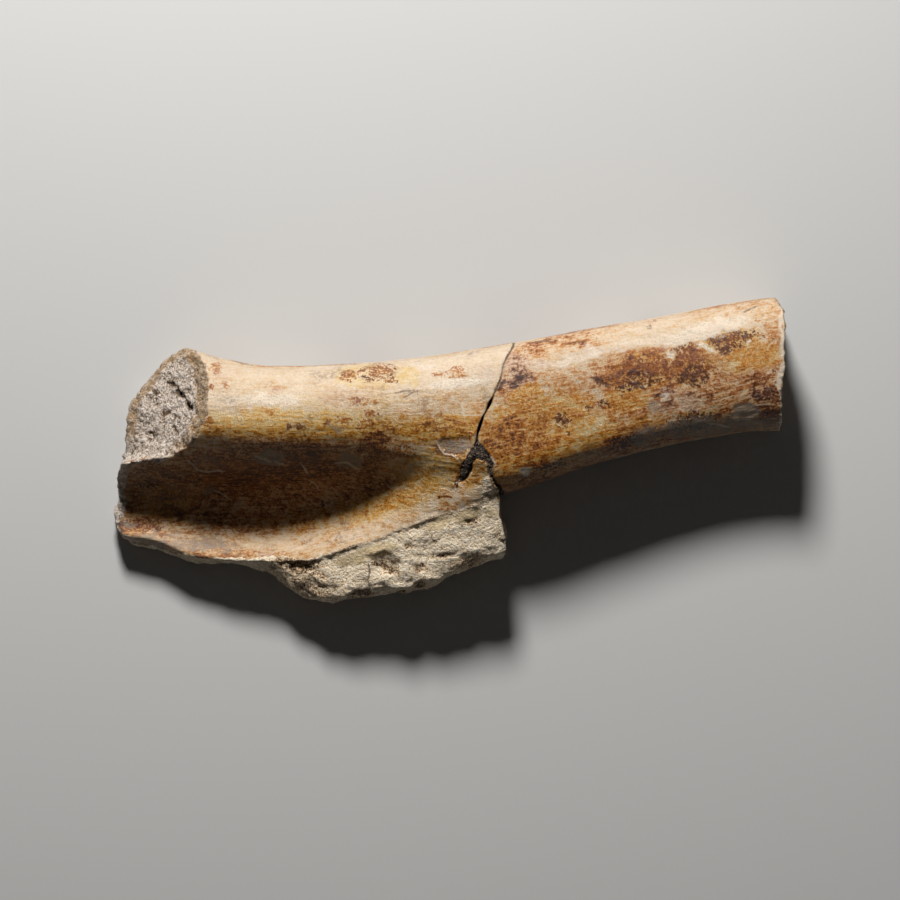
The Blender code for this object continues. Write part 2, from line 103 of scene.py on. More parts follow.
BROKEN_CORNER = [(484, 480), (488, 474), (506, 474), (506, 502), (480, 504)]

# The rim's brown edges: how strong each is, how far from its line it is full and ends, and the line
RIM_BANDS = [
    (1.0, 9, 15, [(192, 350), (200, 356), (206, 372), (208, 395), (207, 418), (200, 430), (196, 443)]),
    (0.95, 5, 10, [(176, 350), (160, 362), (148, 382), (131, 402), (127, 432)]),
    (0.6, 4, 9, [(200, 428), (190, 440), (176, 450)]),
]

# Stains on the outside, from 0 for cream through ochre, rust and red brown to 1 for near black, with painted
# shade laid into those of the trough and under the rod's lower side. Each is its middle across and down, its
# half length and width, its turn and its level, and covers those before it. Flecks are small stains with
# crisp edges
FLARED_STAINS_AND_SHADE = [
    (300, 388, 190, 26, 1, 0.12), (250, 420, 52, 12, -2, 0.27), (345, 424, 150, 13, 2, 0.25),
    (437, 426, 60, 13, 6, 0.52), (450, 402, 56, 12, 4, 0.27), (350, 398, 44, 13, 0, 0.22),
    (220, 379, 17, 16, 0, 0.24), (275, 389, 13, 5, 0, 0.32), (268, 411, 9, 3.5, 0, 0.50),
    (222, 431, 22, 7, -8, 0.46), (262, 439, 36, 8, -8, 0.47), (303, 440, 44, 10, 0, 0.38),
    (345, 438, 44, 11, 0, 0.40), (402, 439, 36, 9, 0, 0.46), (442, 441, 30, 8, 8, 0.48),
    # The next five rows are the trough: its brown stain made darker with painted shade for the rod's shadow
    (245, 482, 136, 34, 0, 0.74), (390, 474, 86, 32, 8, 0.34), (160, 500, 46, 36, -6, 0.50),
    (440, 470, 40, 24, 10, 0.26), (290, 466, 70, 18, 0, 0.84), (376, 446, 14, 14, 0, 0.86),
    (290, 508, 38, 18, 4, 0.50), (378, 487, 16, 11, 0, 0.76), (345, 487, 10, 11, 0, 0.60),
    (366, 468, 6, 15, 0, 0.70), (350, 508, 44, 12, 8, 0.40), (400, 496, 36, 12, 16, 0.42),
    (205, 516, 40, 12, 0, 0.58), (190, 525, 24, 6, 0, 0.46), (240, 531, 60, 7, 2, 0.48),
    (200, 545, 76, 9, -4, 0.42), (300, 545, 66, 11, 6, 0.31), (352, 532, 44, 9, 14, 0.30),
    (400, 515, 44, 9, 20, 0.30), (450, 500, 34, 9, 16, 0.16), (470, 486, 24, 9, 10, 0.26),
    (163, 540, 6, 8, 0, 0.62), (213, 546, 10, 4, 0, 0.60), (469, 500, 7, 5, 0, 0.50),
    (449, 508, 7, 5, 0, 0.50), (444, 496, 4, 3, 0, 0.92), (130, 526, 20, 8, 0, 0.85),
    (162, 491, 9, 5, 0, 0.42), (192, 525, 20, 4, 0, 0.36), (236, 505, 12, 7, 0, 0.40),
    (484, 440, 8, 12, 0, 0.20), (476, 468, 9, 11, 0, 0.42), (473, 481, 4, 5, 0, 0.95),
    (464, 486, 6, 8, 0, 0.50), (487, 490, 16, 11, 0, 0.16), (458, 469, 5, 9, 0, 0.52),
    (489, 434, 3, 16, -10, 0.74), (478, 418, 6, 16, 10, 0.40), (478, 467, 9, 9, 0, 0.43),
    # The first and last here are brown stain darkened with painted shade under the rod's lower side
    (458, 430, 26, 6, 6, 0.60), (215, 555, 60, 7, -2, 0.52), (456, 447, 17, 9, 6, 0.74),
]
FLARED_FLECKS = [
    (214, 369, 5, 4, 0, 0.48), (226, 386, 5, 3, 0, 0.46), (211, 387, 3, 5, 0, 0.50),
    (350, 375, 10, 4, 0, 0.62), (362, 370, 6, 2.5, 0, 0.70), (381, 371, 14, 9, 0, 0.66),
    (370, 379, 8, 4, 0, 0.82), (389, 380, 9, 3, 0, 0.68), (361, 401, 13, 4.5, 0, 0.48),
    (329, 424, 3, 3, 0, 0.64), (343, 421, 7, 3.5, 0, 0.62), (372, 414, 8, 3, 0, 0.60),
    (365, 424, 8, 4.5, 0, 0.62), (440, 376, 6, 3, 0, 0.48), (457, 374, 9, 4.5, 0, 0.46),
    (209, 423, 5, 5, 0, 0.62), (289, 427, 4, 2.5, 30, 0.78), (300, 426, 6, 2, -10, 0.72),
    (325, 505, 4, 3, 0, 0.90), (410, 459, 9, 4, 10, 0.40),
    (428, 471, 9, 5, 14, 0.42), (330, 455, 8, 3, 0, 0.50), (310, 486, 8, 4, -30, 0.58),
    (160, 470, 18, 8, -6, 0.66), (235, 466, 18, 5, 4, 0.62), (255, 492, 18, 6, 0, 0.66),
    (215, 480, 14, 5, 0, 0.60), (185, 495, 20, 6, -4, 0.58), (400, 452, 16, 5, 6, 0.60),
    (117, 524, 13, 5, 6, 0.98), (150, 527, 16, 4, -4, 0.80), (170, 505, 24, 3, 0, 0.40),
    (150, 515, 20, 3, 0, 0.36),
    (180, 478, 22, 3, -4, 0.92), (150, 484, 14, 3, 0, 0.90), (457, 483, 2.2, 5, -20, 0.96),
]

# Other paints on the outside, each with its strength last, where the pale paint is pale bone and painted
# highlights, then the outlines of places where a thin flake has come off, cracks, and pale scratches and
# painted highlights on edges
FLARED_YELLOW = [
    (371, 375, 36, 12, 0, 1.0), (345, 400, 60, 14, 0, 0.6), (480, 470, 34, 26, 0, 0.6),
    (300, 424, 120, 16, 0, 0.9), (440, 428, 52, 14, 4, 1.0), (407, 377, 12, 9, 0, 0.9),
    (250, 386, 40, 14, 0, 0.3), (430, 470, 50, 26, 8, 0.7), (320, 520, 90, 14, 6, 0.5),
    (165, 505, 40, 22, 0, 0.6), (380, 505, 60, 18, 14, 0.7), (480, 440, 14, 24, 0, 0.6),
]
FLARED_VIOLET = [
    (190, 546, 78, 11, -4, 0.3), (220, 379, 14, 14, 0, 0.5), (345, 397, 40, 13, 0, 0.6),
    (488, 373, 12, 6, 0, 0.9), (275, 389, 12, 5, 0, 0.6), (425, 364, 14, 4, 0, 0.7),
    (370, 379, 22, 10, 0, 0.4),
]
FLARED_GREY = [
    (382, 397, 8, 13, 0, 0.45), (337, 428, 10, 4, 0, 0.7), (180, 544, 74, 11, -4, 0.75),
    (270, 458, 18, 8, -6, 1.0), (349, 461, 13, 10, -10, 0.9), (210, 463, 18, 10, 0, 0.5),
    (209, 489, 8, 5, 0, 0.7), (237, 505, 10, 6, 0, 0.6), (130, 523, 7, 4, 0, 0.8),
    (480, 438, 6, 10, 0, 0.6), (312, 478, 10, 12, -50, 0.3), (412, 405, 16, 8, 6, 0.35),
    (455, 402, 20, 7, 4, 0.3), (456, 446, 17, 8, 6, 1.0), (163, 492, 44, 26, 0, 0.5),
]
# Pale bone, and painted highlights along the rod's crest and on the lit lip
FLARED_PALE_AND_HIGHLIGHT = [
    (262, 399, 52, 7, 0, 0.7), (300, 391, 40, 4, 0, 0.5), (460, 383, 38, 5, 6, 0.9),
    (425, 364, 20, 5, 4, 0.6), (290, 547, 50, 6, 6, 0.5), (345, 537, 26, 5, 16, 0.6),
    (390, 517, 26, 6, 20, 0.5), (487, 491, 12, 6, 0, 0.8), (240, 375, 40, 8, -4, 0.4),
]
FLARED_FLAKES = [
    [(438, 444), (441, 449), (443, 453), (450, 455), (456, 456), (462, 460), (466, 457), (470, 453),
     (472, 447), (473, 440), (470, 437), (455, 437), (441, 438)],
    [(253, 455), (262, 451), (276, 452), (288, 456), (286, 464), (276, 463), (268, 462), (258, 459)],
    [(338, 455), (347, 451), (358, 454), (362, 462), (359, 470), (351, 467), (343, 463), (337, 462)],
    [(190, 458), (206, 453), (222, 456), (226, 464), (220, 471), (205, 472), (196, 468), (189, 463)],
    [(202, 487), (210, 484), (216, 488), (214, 492), (206, 493)],
]
FLARED_DARK_LINES = [
    [(396, 393), (406, 391), (413, 390)], [(405, 397), (412, 393), (418, 391)],
    [(287, 430), (293, 426), (299, 426), (305, 428)],
    [(487, 430), (486, 440), (487, 449)], [(459, 477), (456, 482), (453, 488)],
    [(369, 565), (370, 572), (368, 580), (370, 588), (368, 596)],
    [(380, 561), (385, 565), (392, 569), (400, 571)],
    [(436, 445), (439, 450), (443, 455), (452, 457)],
    [(498.5, 382), (494.5, 391)],
]
# Pale scratches, and painted highlights on the raised edges of flakes
FLARED_PALE_AND_HIGHLIGHT_LINES = [
    [(256, 457), (262, 459), (270, 462)], [(275, 462), (283, 464.5)],
    [(336, 463), (343, 463), (348, 464), (353, 467), (359, 470)],
    [(302, 465), (306, 470), (307, 473)], [(311, 482), (316, 485), (318, 489)],
    [(188, 461), (194, 466), (197, 470), (205, 472), (222, 471)],
    [(213, 490), (222, 494), (228, 498)], [(463, 415), (478, 415)], [(398, 411), (410, 414)],
    [(462, 405), (464, 414)], [(120, 534), (128, 536), (137, 541), (143, 546), (148, 551)],
    [(437, 443), (441, 450), (444, 454), (452, 455), (456, 457), (459, 461), (463, 463)],
    [(436, 512), (444, 511), (452, 510)],
]

# Clay, dirt with painted shade in grooves and low places, and pits in the broken faces. A pit's last number
# is its depth in steps of PIT_DEPTH
MARGIN_CLAY = [
    (372, 552, 28, 7, 16, 1.0), (439, 523, 14, 6, 24, 1.0), (467, 516, 15, 7, 22, 1.0),
    (352, 560, 20, 6, 10, 0.8), (492, 512, 10, 8, 0, 0.6),
]
MARGIN_DIRT_AND_SHADE = [
    (298, 564, 22, 8, -6, 0.9), (388, 567, 15, 4, -24, 1.0), (409, 546, 4, 3, 0, 0.9),
    (420, 568, 7, 3, 0, 0.8), (360, 597, 14, 7, 10, 0.8), (420, 586, 7, 6, 0, 0.7),
    (401, 593, 5, 4, 0, 0.8),
    (468, 562, 16, 7, 10, 0.8), (471, 520, 8, 3, 20, 0.9), (307, 585, 24, 3, -34, 0.7),
    (322, 578, 24, 2.5, -34, 0.6), (302, 580, 34, 15, -30, 0.5), (300, 574, 20, 3, -34, 0.6),
    (497, 535, 3, 8, 0, 0.5),
]
FACE_PITS = [
    (171, 384, 5, 2, -20, 1.5), (180, 393, 9, 1.8, -60, 1.5), (188, 405, 8, 1.8, -52, 1.8),
    (166, 412, 5, 3, -12, 0.9), (174, 429, 4, 3, -20, 0.8), (154, 403, 3, 2.5, 0, 0.9),
    (155, 392, 3, 2.5, 0, 0.9), (154, 434, 5, 2.5, 0, 0.7), (184, 443, 5, 3, 30, 0.9),
    (195, 430, 3, 6, 30, 1.0), (142, 418, 3, 4, 0, 0.6),
]
MARGIN_PITS = [
    (300, 566, 10, 4, -10, 1.2), (282, 562, 8, 3, -6, 1.0),
    (409, 547, 4, 2.5, 0, 1.0), (420, 568, 6, 2.5, 0, 1.0), (360, 596, 12, 5, 10, 1.4),
    (420, 586, 5, 5, 0, 1.2), (401, 593, 4, 3, 0, 1.2), (471, 521, 7, 2.5, 20, 0.8),
    (440, 556, 14, 2.2, 4, 0.8),
]

# Gentle swells, and one hollow, that the picture's shading shows, with their height in millimetres last.
# Where the join widens, each of its two faces stands back by a last number
FLARED_SWELLS = [
    (310, 447, 115, 22, 0, 1.7), (468, 496, 80, 44, 12, 1.7), (245, 436, 50, 14, 0, 0.5),
    (487, 545, 38, 34, 0, 2.8), (383, 563, 22, 15, 10, 1.7), (477, 486, 16, 14, 0, 0.6),
    (450, 446, 26, 11, 8, -1.0), (480, 503, 20, 11, 10, 1.1),
]
JOIN_WEDGES = [(487, 403, 8, 5, 0, 0.34), (478, 425, 8, 8, 0, 0.38)]

# Where broken bone begins and is full: along the bone in millimetres, or in the picture's pixels
LEFT_END, FLARED_JOIN_END = (-84, -88), (2, 6)
LIP_BLUR, CORNER_BLUR = (-0.5, 1.5), 1.5
STREAK_TURN, STREAKS_END, STREAKS_BLUR = -34.0, 330, 20
# Where the trough's grain begins and is full, and where dirt and painted shade begin and are full down the
# open join
TROUGH_FROM, JOIN_DIRT_AND_SHADE_FROM = (430, 470), (385, 400)
# The band of brown stain and painted shade under the lip: its strength, how far from the lip it ends and is
# full, and where across it begins and is full
LIP_STAIN_AND_SHADE, LIP_BAND_WIDE, LIP_BAND_FROM = 0.8, (7, 1), (315, 335)

# Which way a face has to look: up at the camera, where marks begin and are full, or along the bone
SEEN_PAINT, SEEN_SHAPE, SEEN_BROKEN, SEEN_LINE = (0.05, 0.4), (-0.15, 0.2), (0.0, 0.25), (0.0, 0.2)
FLAKE_FACES, MARGIN_SIDES, END_ON = 0.2, (-0.7, -0.5), (0.42, 0.62)

# Lumps in millimetres: each is its height, its size, how far its pattern is shifted, and its layers
FLARED_WAVES = [(0.2, 11, 0, 3)]
GRAIN_SIZE, TROUGH_GRAIN_LEAST, TROUGH_GRAIN = (9, 1.5, 1.5), 0.05, 0.08
FACE_LUMPS = [(0.62, 2.4, 0, 3), (0.34, 1.3, 10, 2)]
SPLINTER_LUMPS, SPLINTER_GRAIN = [(0.5, (6, 1.6, 2), 0, 3)], [(0.2, 1.3, 0, 2)]
CRUMB_LUMPS = [(0.26, (3.0, 2.2, 2.2), 0, 3), (0.26, 1.3, 10, 2)]
LIP_LUMPS, LIP_HIGH, LIP_WIDE = [(0.4, 2.0, 50, 3)], 0.3, 9
PIT_DEPTH, CLAY_FILLS, BROKEN_KEPT = 0.7, 0.7, 0.8
FLARED_FLAKE_DEPTH, FLAKE_EDGE = 0.4, (-0.5, 1.5)
# Where dirt and painted shade begin and are full in the broken faces' dips, where painted shade and dirt
# begin and are full in the outside's low places, and how much of them the left strip is spared, to paint it
# lighter
DIP_DIRT_AND_SHADE, LOW_SHADE_AND_DIRT, STRIP_LIGHTENED = (-0.15, -0.8), (-0.06, -0.2), 0.8

# Marks: how far their edges wander and how soft they are, in pixels or as a share of the mark
EDGE_WANDER, PIT_WANDER, OUTLINE_WANDER, OUTLINE_BLUR = 1.6, 3.5, 3, 6
STAIN_WANDER, STAIN_BLUR, FLECK_WANDER, FLECK_BLUR = 7.5, 0.75, 4, 0.85
PAINT_WANDER, PAINT_BLUR, PATCH_BLUR, SWELL_BLUR = 5, 0.6, 0.5, 1.0
LINE_KEPT, LINE_NEAR, FLAKE_KEPT = 9, (4.0, 2.2), 8

# Blots on the unseen back: their level, the unevenness that they begin and are full at, and their size
BACK_STAIN, BACK_BLOT_STAIN, BACK_BLOTS, BACK_BLOT_SIZE = 0.12, 0.6, (-0.35, 0.75), (30, 15, 15)
BACK_FLECK_STAIN, BACK_FLECKS, BACK_FLECK_SIZE = 0.8, (0.0, 0.9), (16, 8, 8)
PAINT_BLOTS, PAINT_BLOT_SIZE = (0.0, 0.6), (34, 18, 18)
BACK_YELLOW, BACK_VIOLET, BACK_GREY, BACK_PALE, VIOLET_SHIFT = 0.8, 0.3, 0.5, 0.2, 140


def ease(low, high, values):
    """0 where values are at low or beyond it, 1 at high, and smooth between."""
    share = np.clip((values - low) / (high - low), 0, 1)
    return share * share * (3 - 2 * share)


def uneven(points, size, layers=3):
    """Uneven values from about -1 to 1 at points. The lumps have this size, the same or along x, y and z.

    Shifted points give another pattern.
    """
    fade, shrink = 0.8, 2.1
    return np.array([noise.fractal(Vector(p), fade, shrink, layers) for p in points / np.array(size, float)])


def rough(points, lumps):
    """How high uneven lumps are at points, added up. Each is its height, size, shift and layers."""
    return sum(high * uneven(points + shift, size, layers) for high, size, shift, layers in lumps)


def wandering(points, size, shift, layers=3):
    """An uneven step across and down for each point, which makes the edges of marks ragged."""
    return np.column_stack((uneven(points, size, layers), uneven(points + shift, size, layers)))


def seen(points):
    """Where the camera sees points, in the picture's pixels."""
    spread = PICTURE * LENS / SENSOR / (CAMERA_Z - points[:, 2])
    across = PICTURE / 2 + (points[:, 0] - CAMERA_X) * spread
    down = PICTURE / 2 - (points[:, 1] - CAMERA_Y) * spread
    return np.column_stack((across, down))


def in_patch(spots, patch, blur):
    """How much each spot in the picture lies in a patch.

    A patch begins with its middle across and down, its half length and width, and its turn in degrees.
    """
    across, down, long, wide, turn = patch[:5]
    run, rise = math.cos(math.radians(turn)), math.sin(math.radians(turn))
    ahead = (spots[:, 0] - across) * run - (spots[:, 1] - down) * rise
    aside = (spots[:, 0] - across) * rise + (spots[:, 1] - down) * run
    return ease(1 + blur, 1 - blur, np.hypot(ahead / long, aside / wide))


def in_patches(spots, patches, blur=PATCH_BLUR):
    """The most that each spot lies in one of the patches, times that patch's last number."""
    return np.maximum.reduce([patch[5] * in_patch(spots, patch, blur) for patch in patches])


def brushed(spots, level, patches, blur):
    """Paints patches over a level, one after the other, each with its last number."""
    for patch in patches:
        level = level + in_patch(spots, patch, blur) * (patch[5] - level)
    return level


def off_line(spots, line):
    """How far each spot is from a line, and less than 0 on the line's one side."""
    nearest = np.full(len(spots), np.inf)
    for start, end in zip(line, line[1:]):
        run = np.subtract(end, start).astype(float)
        out = spots - np.array(start, float)
        share = np.clip(out @ run / (run @ run), 0, 1)
        away = np.hypot(*(out - share[:, None] * run).T)
        side = np.where(run[0] * out[:, 1] < run[1] * out[:, 0], -1.0, 1.0)
        nearest = np.where(away < abs(nearest), side * away, nearest)
    return nearest


def inside(spots, outline):
    """How deep each spot lies inside a closed outline, and less than 0 outside it."""
    found = np.zeros(len(spots), bool)
    for (x0, y0), (x1, y1) in zip(outline, outline[1:] + outline[:1]):
        if y0 != y1:
            passed = (y0 > spots[:, 1]) != (y1 > spots[:, 1])
            found ^= passed & (spots[:, 0] < x0 + (spots[:, 1] - y0) * (x1 - x0) / (y1 - y0))
    depth = abs(off_line(spots, outline + outline[:1]))
    return np.where(found, depth, -depth)


def working_copy(node_name, piece_name, net):
    """A piece with a CAD node's shape, as an even net of small faces drawn back onto that shape."""
    bpy.ops.object.select_all(action="DESELECT")
    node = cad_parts[node_name]
    piece = bpy.data.objects.new(piece_name, node.data.copy())
    bpy.context.scene.collection.objects.link(piece)
    piece.data.materials.clear()
    piece.select_set(True)
    bpy.context.view_layer.objects.active = piece
    bpy.ops.object.mode_set(mode="EDIT")
    bpy.ops.mesh.select_all(action="SELECT")
    bpy.ops.mesh.remove_doubles(threshold=MERGE * MM)
    bpy.ops.object.mode_set(mode="OBJECT")
    remesh = piece.modifiers.new("net", "REMESH")
    remesh.mode = "VOXEL"
    remesh.voxel_size = net * MM
    bpy.ops.object.modifier_apply(modifier=remesh.name)
    wrap = piece.modifiers.new("wrap", "SHRINKWRAP")
    wrap.target = node
    bpy.ops.object.modifier_apply(modifier=wrap.name)
    return piece


def measured(piece):
    """A piece's points in millimetres, and the way that each faces."""
    points = np.zeros(len(piece.data.vertices) * 3)
    facing = np.zeros(len(piece.data.vertices) * 3)
    piece.data.vertices.foreach_get("co", points)
    piece.data.vertices.foreach_get("normal", facing)
    return points.reshape(-1, 3) / MM, facing.reshape(-1, 3)


def smoothed(piece, share):
    """Smooths a piece, each point by its share."""
    group = piece.vertex_groups.new(name="smooth")
    for index, weight in enumerate(share):
        group.add([index], float(weight), "REPLACE")
    smooth = piece.modifiers.new("smooth", "SMOOTH")
    smooth.factor = SMOOTH_STEP
    smooth.iterations = SMOOTH_TIMES
    smooth.vertex_group = group.name
    bpy.ops.object.modifier_apply(modifier=smooth.name)
    piece.vertex_groups.clear()


def moved(piece, points):
    """Puts a piece's points at new places, none of them below the table."""
    points[:, 2] = np.maximum(points[:, 2], 0)
    piece.data.vertices.foreach_set("co", (points * MM).ravel())
    piece.data.update()
    bpy.ops.object.shade_smooth()


def painted(piece, paints):
    """Stores how strong each paint is at each of a piece's points, for the materials to read."""
    for name, values in paints.items():
        layer = piece.data.attributes.new(name, "FLOAT", "POINT")
        layer.data.foreach_set("value", np.asarray(values, np.float32))


def opened(points, past=0.0):
    """1 in the join's open part, and this far past its upper end, 0 where the join is closed."""
    upper = JOIN_OPEN_TO + past
    share = ease(upper, upper - JOIN_TAPER, points[:, 1])
    return share * ease(JOIN_OPEN_FROM - JOIN_TAPER, JOIN_OPEN_FROM, points[:, 1])


def at_join_edge(points):
    """1 close to the join, where the bone keeps its sharp broken edges."""
    away = abs(off_line(points[:, :2], JOIN_LINE))
    wide = JOIN_EDGE_CLOSED + (JOIN_EDGE_OPEN - JOIN_EDGE_CLOSED) * opened(points, JOIN_TAPER)
    return ease(1 + JOIN_EDGE_BLUR, 1 - JOIN_EDGE_BLUR, away / wide)


def join_lumps(points):
    """How far the join's faces move out: in its closed part almost to touch, in its open part unevenly."""
    closed = JOIN_CLOSES - in_patches(seen(points), JOIN_WEDGES)
    crumbs = JOIN_CRUMB - 2 * JOIN_CRUMB * abs(uneven(points, JOIN_CRUMB_SIZE))
    return closed + crumbs * opened(points)


def lifted(points, facing, swells):
    """How far each point is lifted, where the picture shows the bone fuller or flatter than it is plain."""
    front = ease(*SEEN_SHAPE, facing[:, 2])
    return front * sum(swell[5] * in_patch(seen(points), swell, SWELL_BLUR) for swell in swells)


def flaked(points, facing, flakes):
    """How deep each point lies inside one of the flakes' outlines, and less than 0 outside them."""
    depth = np.maximum.reduce([inside(seen(points), outline) for outline in flakes])
    return np.where(facing[:, 2] > FLAKE_FACES, np.clip(depth, -FLAKE_KEPT, FLAKE_KEPT), -FLAKE_KEPT)


def stained(paints, points, facing, ground, stains, flecks, outlines=()):
    """Stores the level of the stains and painted shade on the outside, and the cover and level of the flecks
    over them.

    The stains lie on a ground of one level. Flecks have crisp edges, and an outline with its level is a large
    fleck. They are placed where the camera sees the bone, and come in blots on its back.
    """
    front = ease(*SEEN_PAINT, facing[:, 2])
    spots = seen(points)
    wander = wandering(points, 5, 40, 6)
    stain_and_shade = brushed(spots + STAIN_WANDER * wander, np.full(len(points), ground), stains, STAIN_BLUR)
    blots = ease(*BACK_BLOTS, uneven(points + 60, BACK_BLOT_SIZE, 5))
    paints["stain_and_shade"] = front * stain_and_shade + (1 - front) * (BACK_STAIN + BACK_BLOT_STAIN * blots)
    cover = ease(*BACK_FLECKS, uneven(points + 75, BACK_FLECK_SIZE, 5)) * (1 - front)
    fleck_level = np.full(len(points), BACK_FLECK_STAIN)
    shares = []
    for level, outline in outlines:
        depth = inside(spots + OUTLINE_WANDER * wander, outline)
        shares.append((level, ease(-OUTLINE_BLUR, OUTLINE_BLUR, depth)))
    shares += [(patch[5], in_patch(spots + FLECK_WANDER * wander, patch, FLECK_BLUR)) for patch in flecks]
    for level, share in shares:
        share = share * front
        fleck_level = np.where((share > 0.5) | (share > cover), level, fleck_level)
        cover = np.maximum(cover, share)
    paints["fleck"] = cover
    paints["fleck_level"] = fleck_level


def patched(points, facing, patches, rest, shift=90):
    """A paint's strength: in patches that the picture shows, and on the back in blots up to the rest."""
    front = ease(*SEEN_PAINT, facing[:, 2])
    spots = seen(points) + PAINT_WANDER * wandering(points, 5, 20)
    blots = ease(*PAINT_BLOTS, uneven(points + shift, PAINT_BLOT_SIZE))
    return front * in_patches(spots, patches, PAINT_BLUR) + (1 - front) * rest * blots


def lined(paints, name, points, facing, lines):
    """Stores thin lines as how far each point is off to a line's side, and how near the line it is."""
    off = off_line(seen(points), lines[0])
    for line in lines[1:]:
        other = off_line(seen(points), line)
        off = np.where(abs(other) < abs(off), other, off)
    paints[name + "_off"] = np.clip(off, -LINE_KEPT, LINE_KEPT)
    paints[name + "_near"] = ease(*LINE_NEAR, abs(off)) * ease(*SEEN_LINE, facing[:, 2])


# A noise node gives values round NOISE_MIDDLE, which NOISE_SPREAD stretches to about -1 to 1
NOISE_MIDDLE, NOISE_SPREAD = 0.5, 4.2


class Wire:
    """An output of one of a material's nodes. A sum written with wires adds the nodes that work it out."""

    def __init__(self, tree, socket=None):
        self.tree = tree
        self.socket = socket

    def node(self, kind, sockets, output=0, stops=None, **settings):
        """Adds a node with its settings and the values or wires of its sockets, and gives one output."""
        made = self.tree.nodes.new("ShaderNode" + kind)
        for name, value in settings.items():
            setattr(made, name, value)
        if stops:
            ramp = made.color_ramp
            while len(ramp.elements) < len(stops):
                ramp.elements.new(0.5)
            for element, (place, colour) in zip(ramp.elements, stops):
                element.position = place
                element.color = (*colour, 1)
        for name, value in sockets.items():
            if isinstance(value, Wire):
                self.tree.links.new(value.socket, made.inputs[name])
            else:
                made.inputs[name].default_value = value
        return Wire(self.tree, made.outputs[output])

    def math(self, operation, *values):
        return self.node("Math", dict(enumerate(values)), operation=operation)

    def __add__(self, other):
        return self.math("ADD", self, other)

    def __sub__(self, other):
        return self.math("SUBTRACT", self, other)

    def __rsub__(self, other):
        return self.math("SUBTRACT", other, self)

    def __mul__(self, other):
        return self.math("MULTIPLY", self, other)

    def __or__(self, other):
        return self.math("MAXIMUM", self, other)

    def __abs__(self):
        return self.math("ABSOLUTE", self)

    __radd__ = __add__
    __rmul__ = __mul__

    def between(self, low, high):
        """0 at low, 1 at high, and smooth between."""
        sockets = {"Value": self, "From Min": low, "From Max": high}
        return self.node("MapRange", sockets, interpolation_type="SMOOTHSTEP")

    def parted(self, blur):
        """-1 or 1 for this value, with a step between them as soft as the blur."""
        return self.between(-blur, blur) * 2 - 1

    def ramp(self, stops):
        """The colour for this value on a ramp of colours."""
        return self.node("ValToRGB", {"Fac": self}, stops=stops)

    def blend(self, one, other):
        """One colour where this is 0 and the other where it is 1."""
        colours = [(*c, 1) if isinstance(c, tuple) else c for c in (one, other)]
        return self.node("Mix", {0: self, 6: colours[0], 7: colours[1]}, output=2, data_type="RGBA")

    def tinted(self, colour, tint):
        """A colour that is multiplied by a tint where this is 1 and left as it is where this is 0."""
        sockets = {0: self, 6: colour, 7: (*tint, 1)}
        return self.node("Mix", sockets, output=2, data_type="RGBA", blend_type="MULTIPLY")

    def millimetres(self):
        """The place on the piece in millimetres."""
        whole = self.node("TexCoord", {}, output="Object")
        return self.node("Mapping", {"Vector": whole, "Scale": (1 / MM, 1 / MM, 1 / MM)})

    def grains(self, size, layers, roughness):
        """Uneven values from about -1 to 1 at this place, with lumps of this size in millimetres."""
        sockets = {"Vector": self, "Scale": 1 / size, "Detail": layers, "Roughness": roughness}
        return (self.node("TexNoise", sockets) - NOISE_MIDDLE) * NOISE_SPREAD


# The outside's colours along the level of stain and painted shade, and those of the other paints
WARM_STAIN = [
    (0.0, (0.72, 0.58, 0.43)), (0.18, (0.64, 0.48, 0.32)), (0.34, (0.58, 0.37, 0.18)),
    (0.48, (0.47, 0.22, 0.065)), (0.62, (0.35, 0.115, 0.022)), (0.78, (0.19, 0.055, 0.012)),
    (1.0, (0.06, 0.018, 0.006)),
]
GOLD_STAIN = [
    (0.0, (0.72, 0.58, 0.38)), (0.18, (0.64, 0.45, 0.21)), (0.34, (0.58, 0.33, 0.08)),
    (0.48, (0.54, 0.23, 0.018)), (0.62, (0.39, 0.13, 0.008)), (0.78, (0.22, 0.065, 0.008)),
    (1.0, (0.06, 0.018, 0.006)),
]
VIOLET_STAIN = [
    (0.0, (0.70, 0.55, 0.43)), (0.18, (0.64, 0.48, 0.34)), (0.34, (0.54, 0.35, 0.22)),
    (0.48, (0.42, 0.22, 0.12)), (0.62, (0.28, 0.12, 0.055)), (0.78, (0.14, 0.054, 0.026)),
    (1.0, (0.045, 0.02, 0.014)),
]
# Grey and deep grey bone, the pale of pale bone and painted highlights, and the dark and pale of lines, the
# pale being pale scratches and painted highlights on edges
GREY_BONE, GREY_DEEP, PALE_BONE_AND_HIGHLIGHT = (0.38, 0.32, 0.25), (0.20, 0.165, 0.125), (0.77, 0.65, 0.51)
LINE_DARK, LINE_PALE_AND_HIGHLIGHT = (0.10, 0.045, 0.018), (0.66, 0.56, 0.42)
# The broken faces' colours: dirt and painted shade between the grains at the dark end, pale grains at the
# light end
BROKEN_BONE = [
    (0.0, (0.03, 0.018, 0.01)), (0.2, (0.12, 0.07, 0.035)), (0.4, (0.36, 0.26, 0.18)),
    (0.6, (0.63, 0.52, 0.43)), (0.8, (0.80, 0.71, 0.62)), (1.0, (0.84, 0.76, 0.68)),
]
BROKEN_MARGIN = [
    (0.0, (0.04, 0.02, 0.01)), (0.2, (0.22, 0.12, 0.055)), (0.4, (0.66, 0.47, 0.28)),
    (0.6, (0.92, 0.71, 0.48)), (0.8, (0.97, 0.82, 0.60)), (1.0, (0.97, 0.87, 0.70)),
]
BAND_PAINT, CLAY_PAINT = (0.31, 0.17, 0.05), (0.50, 0.36, 0.17)
RUST_TINT = (0.97, 0.86, 0.76)

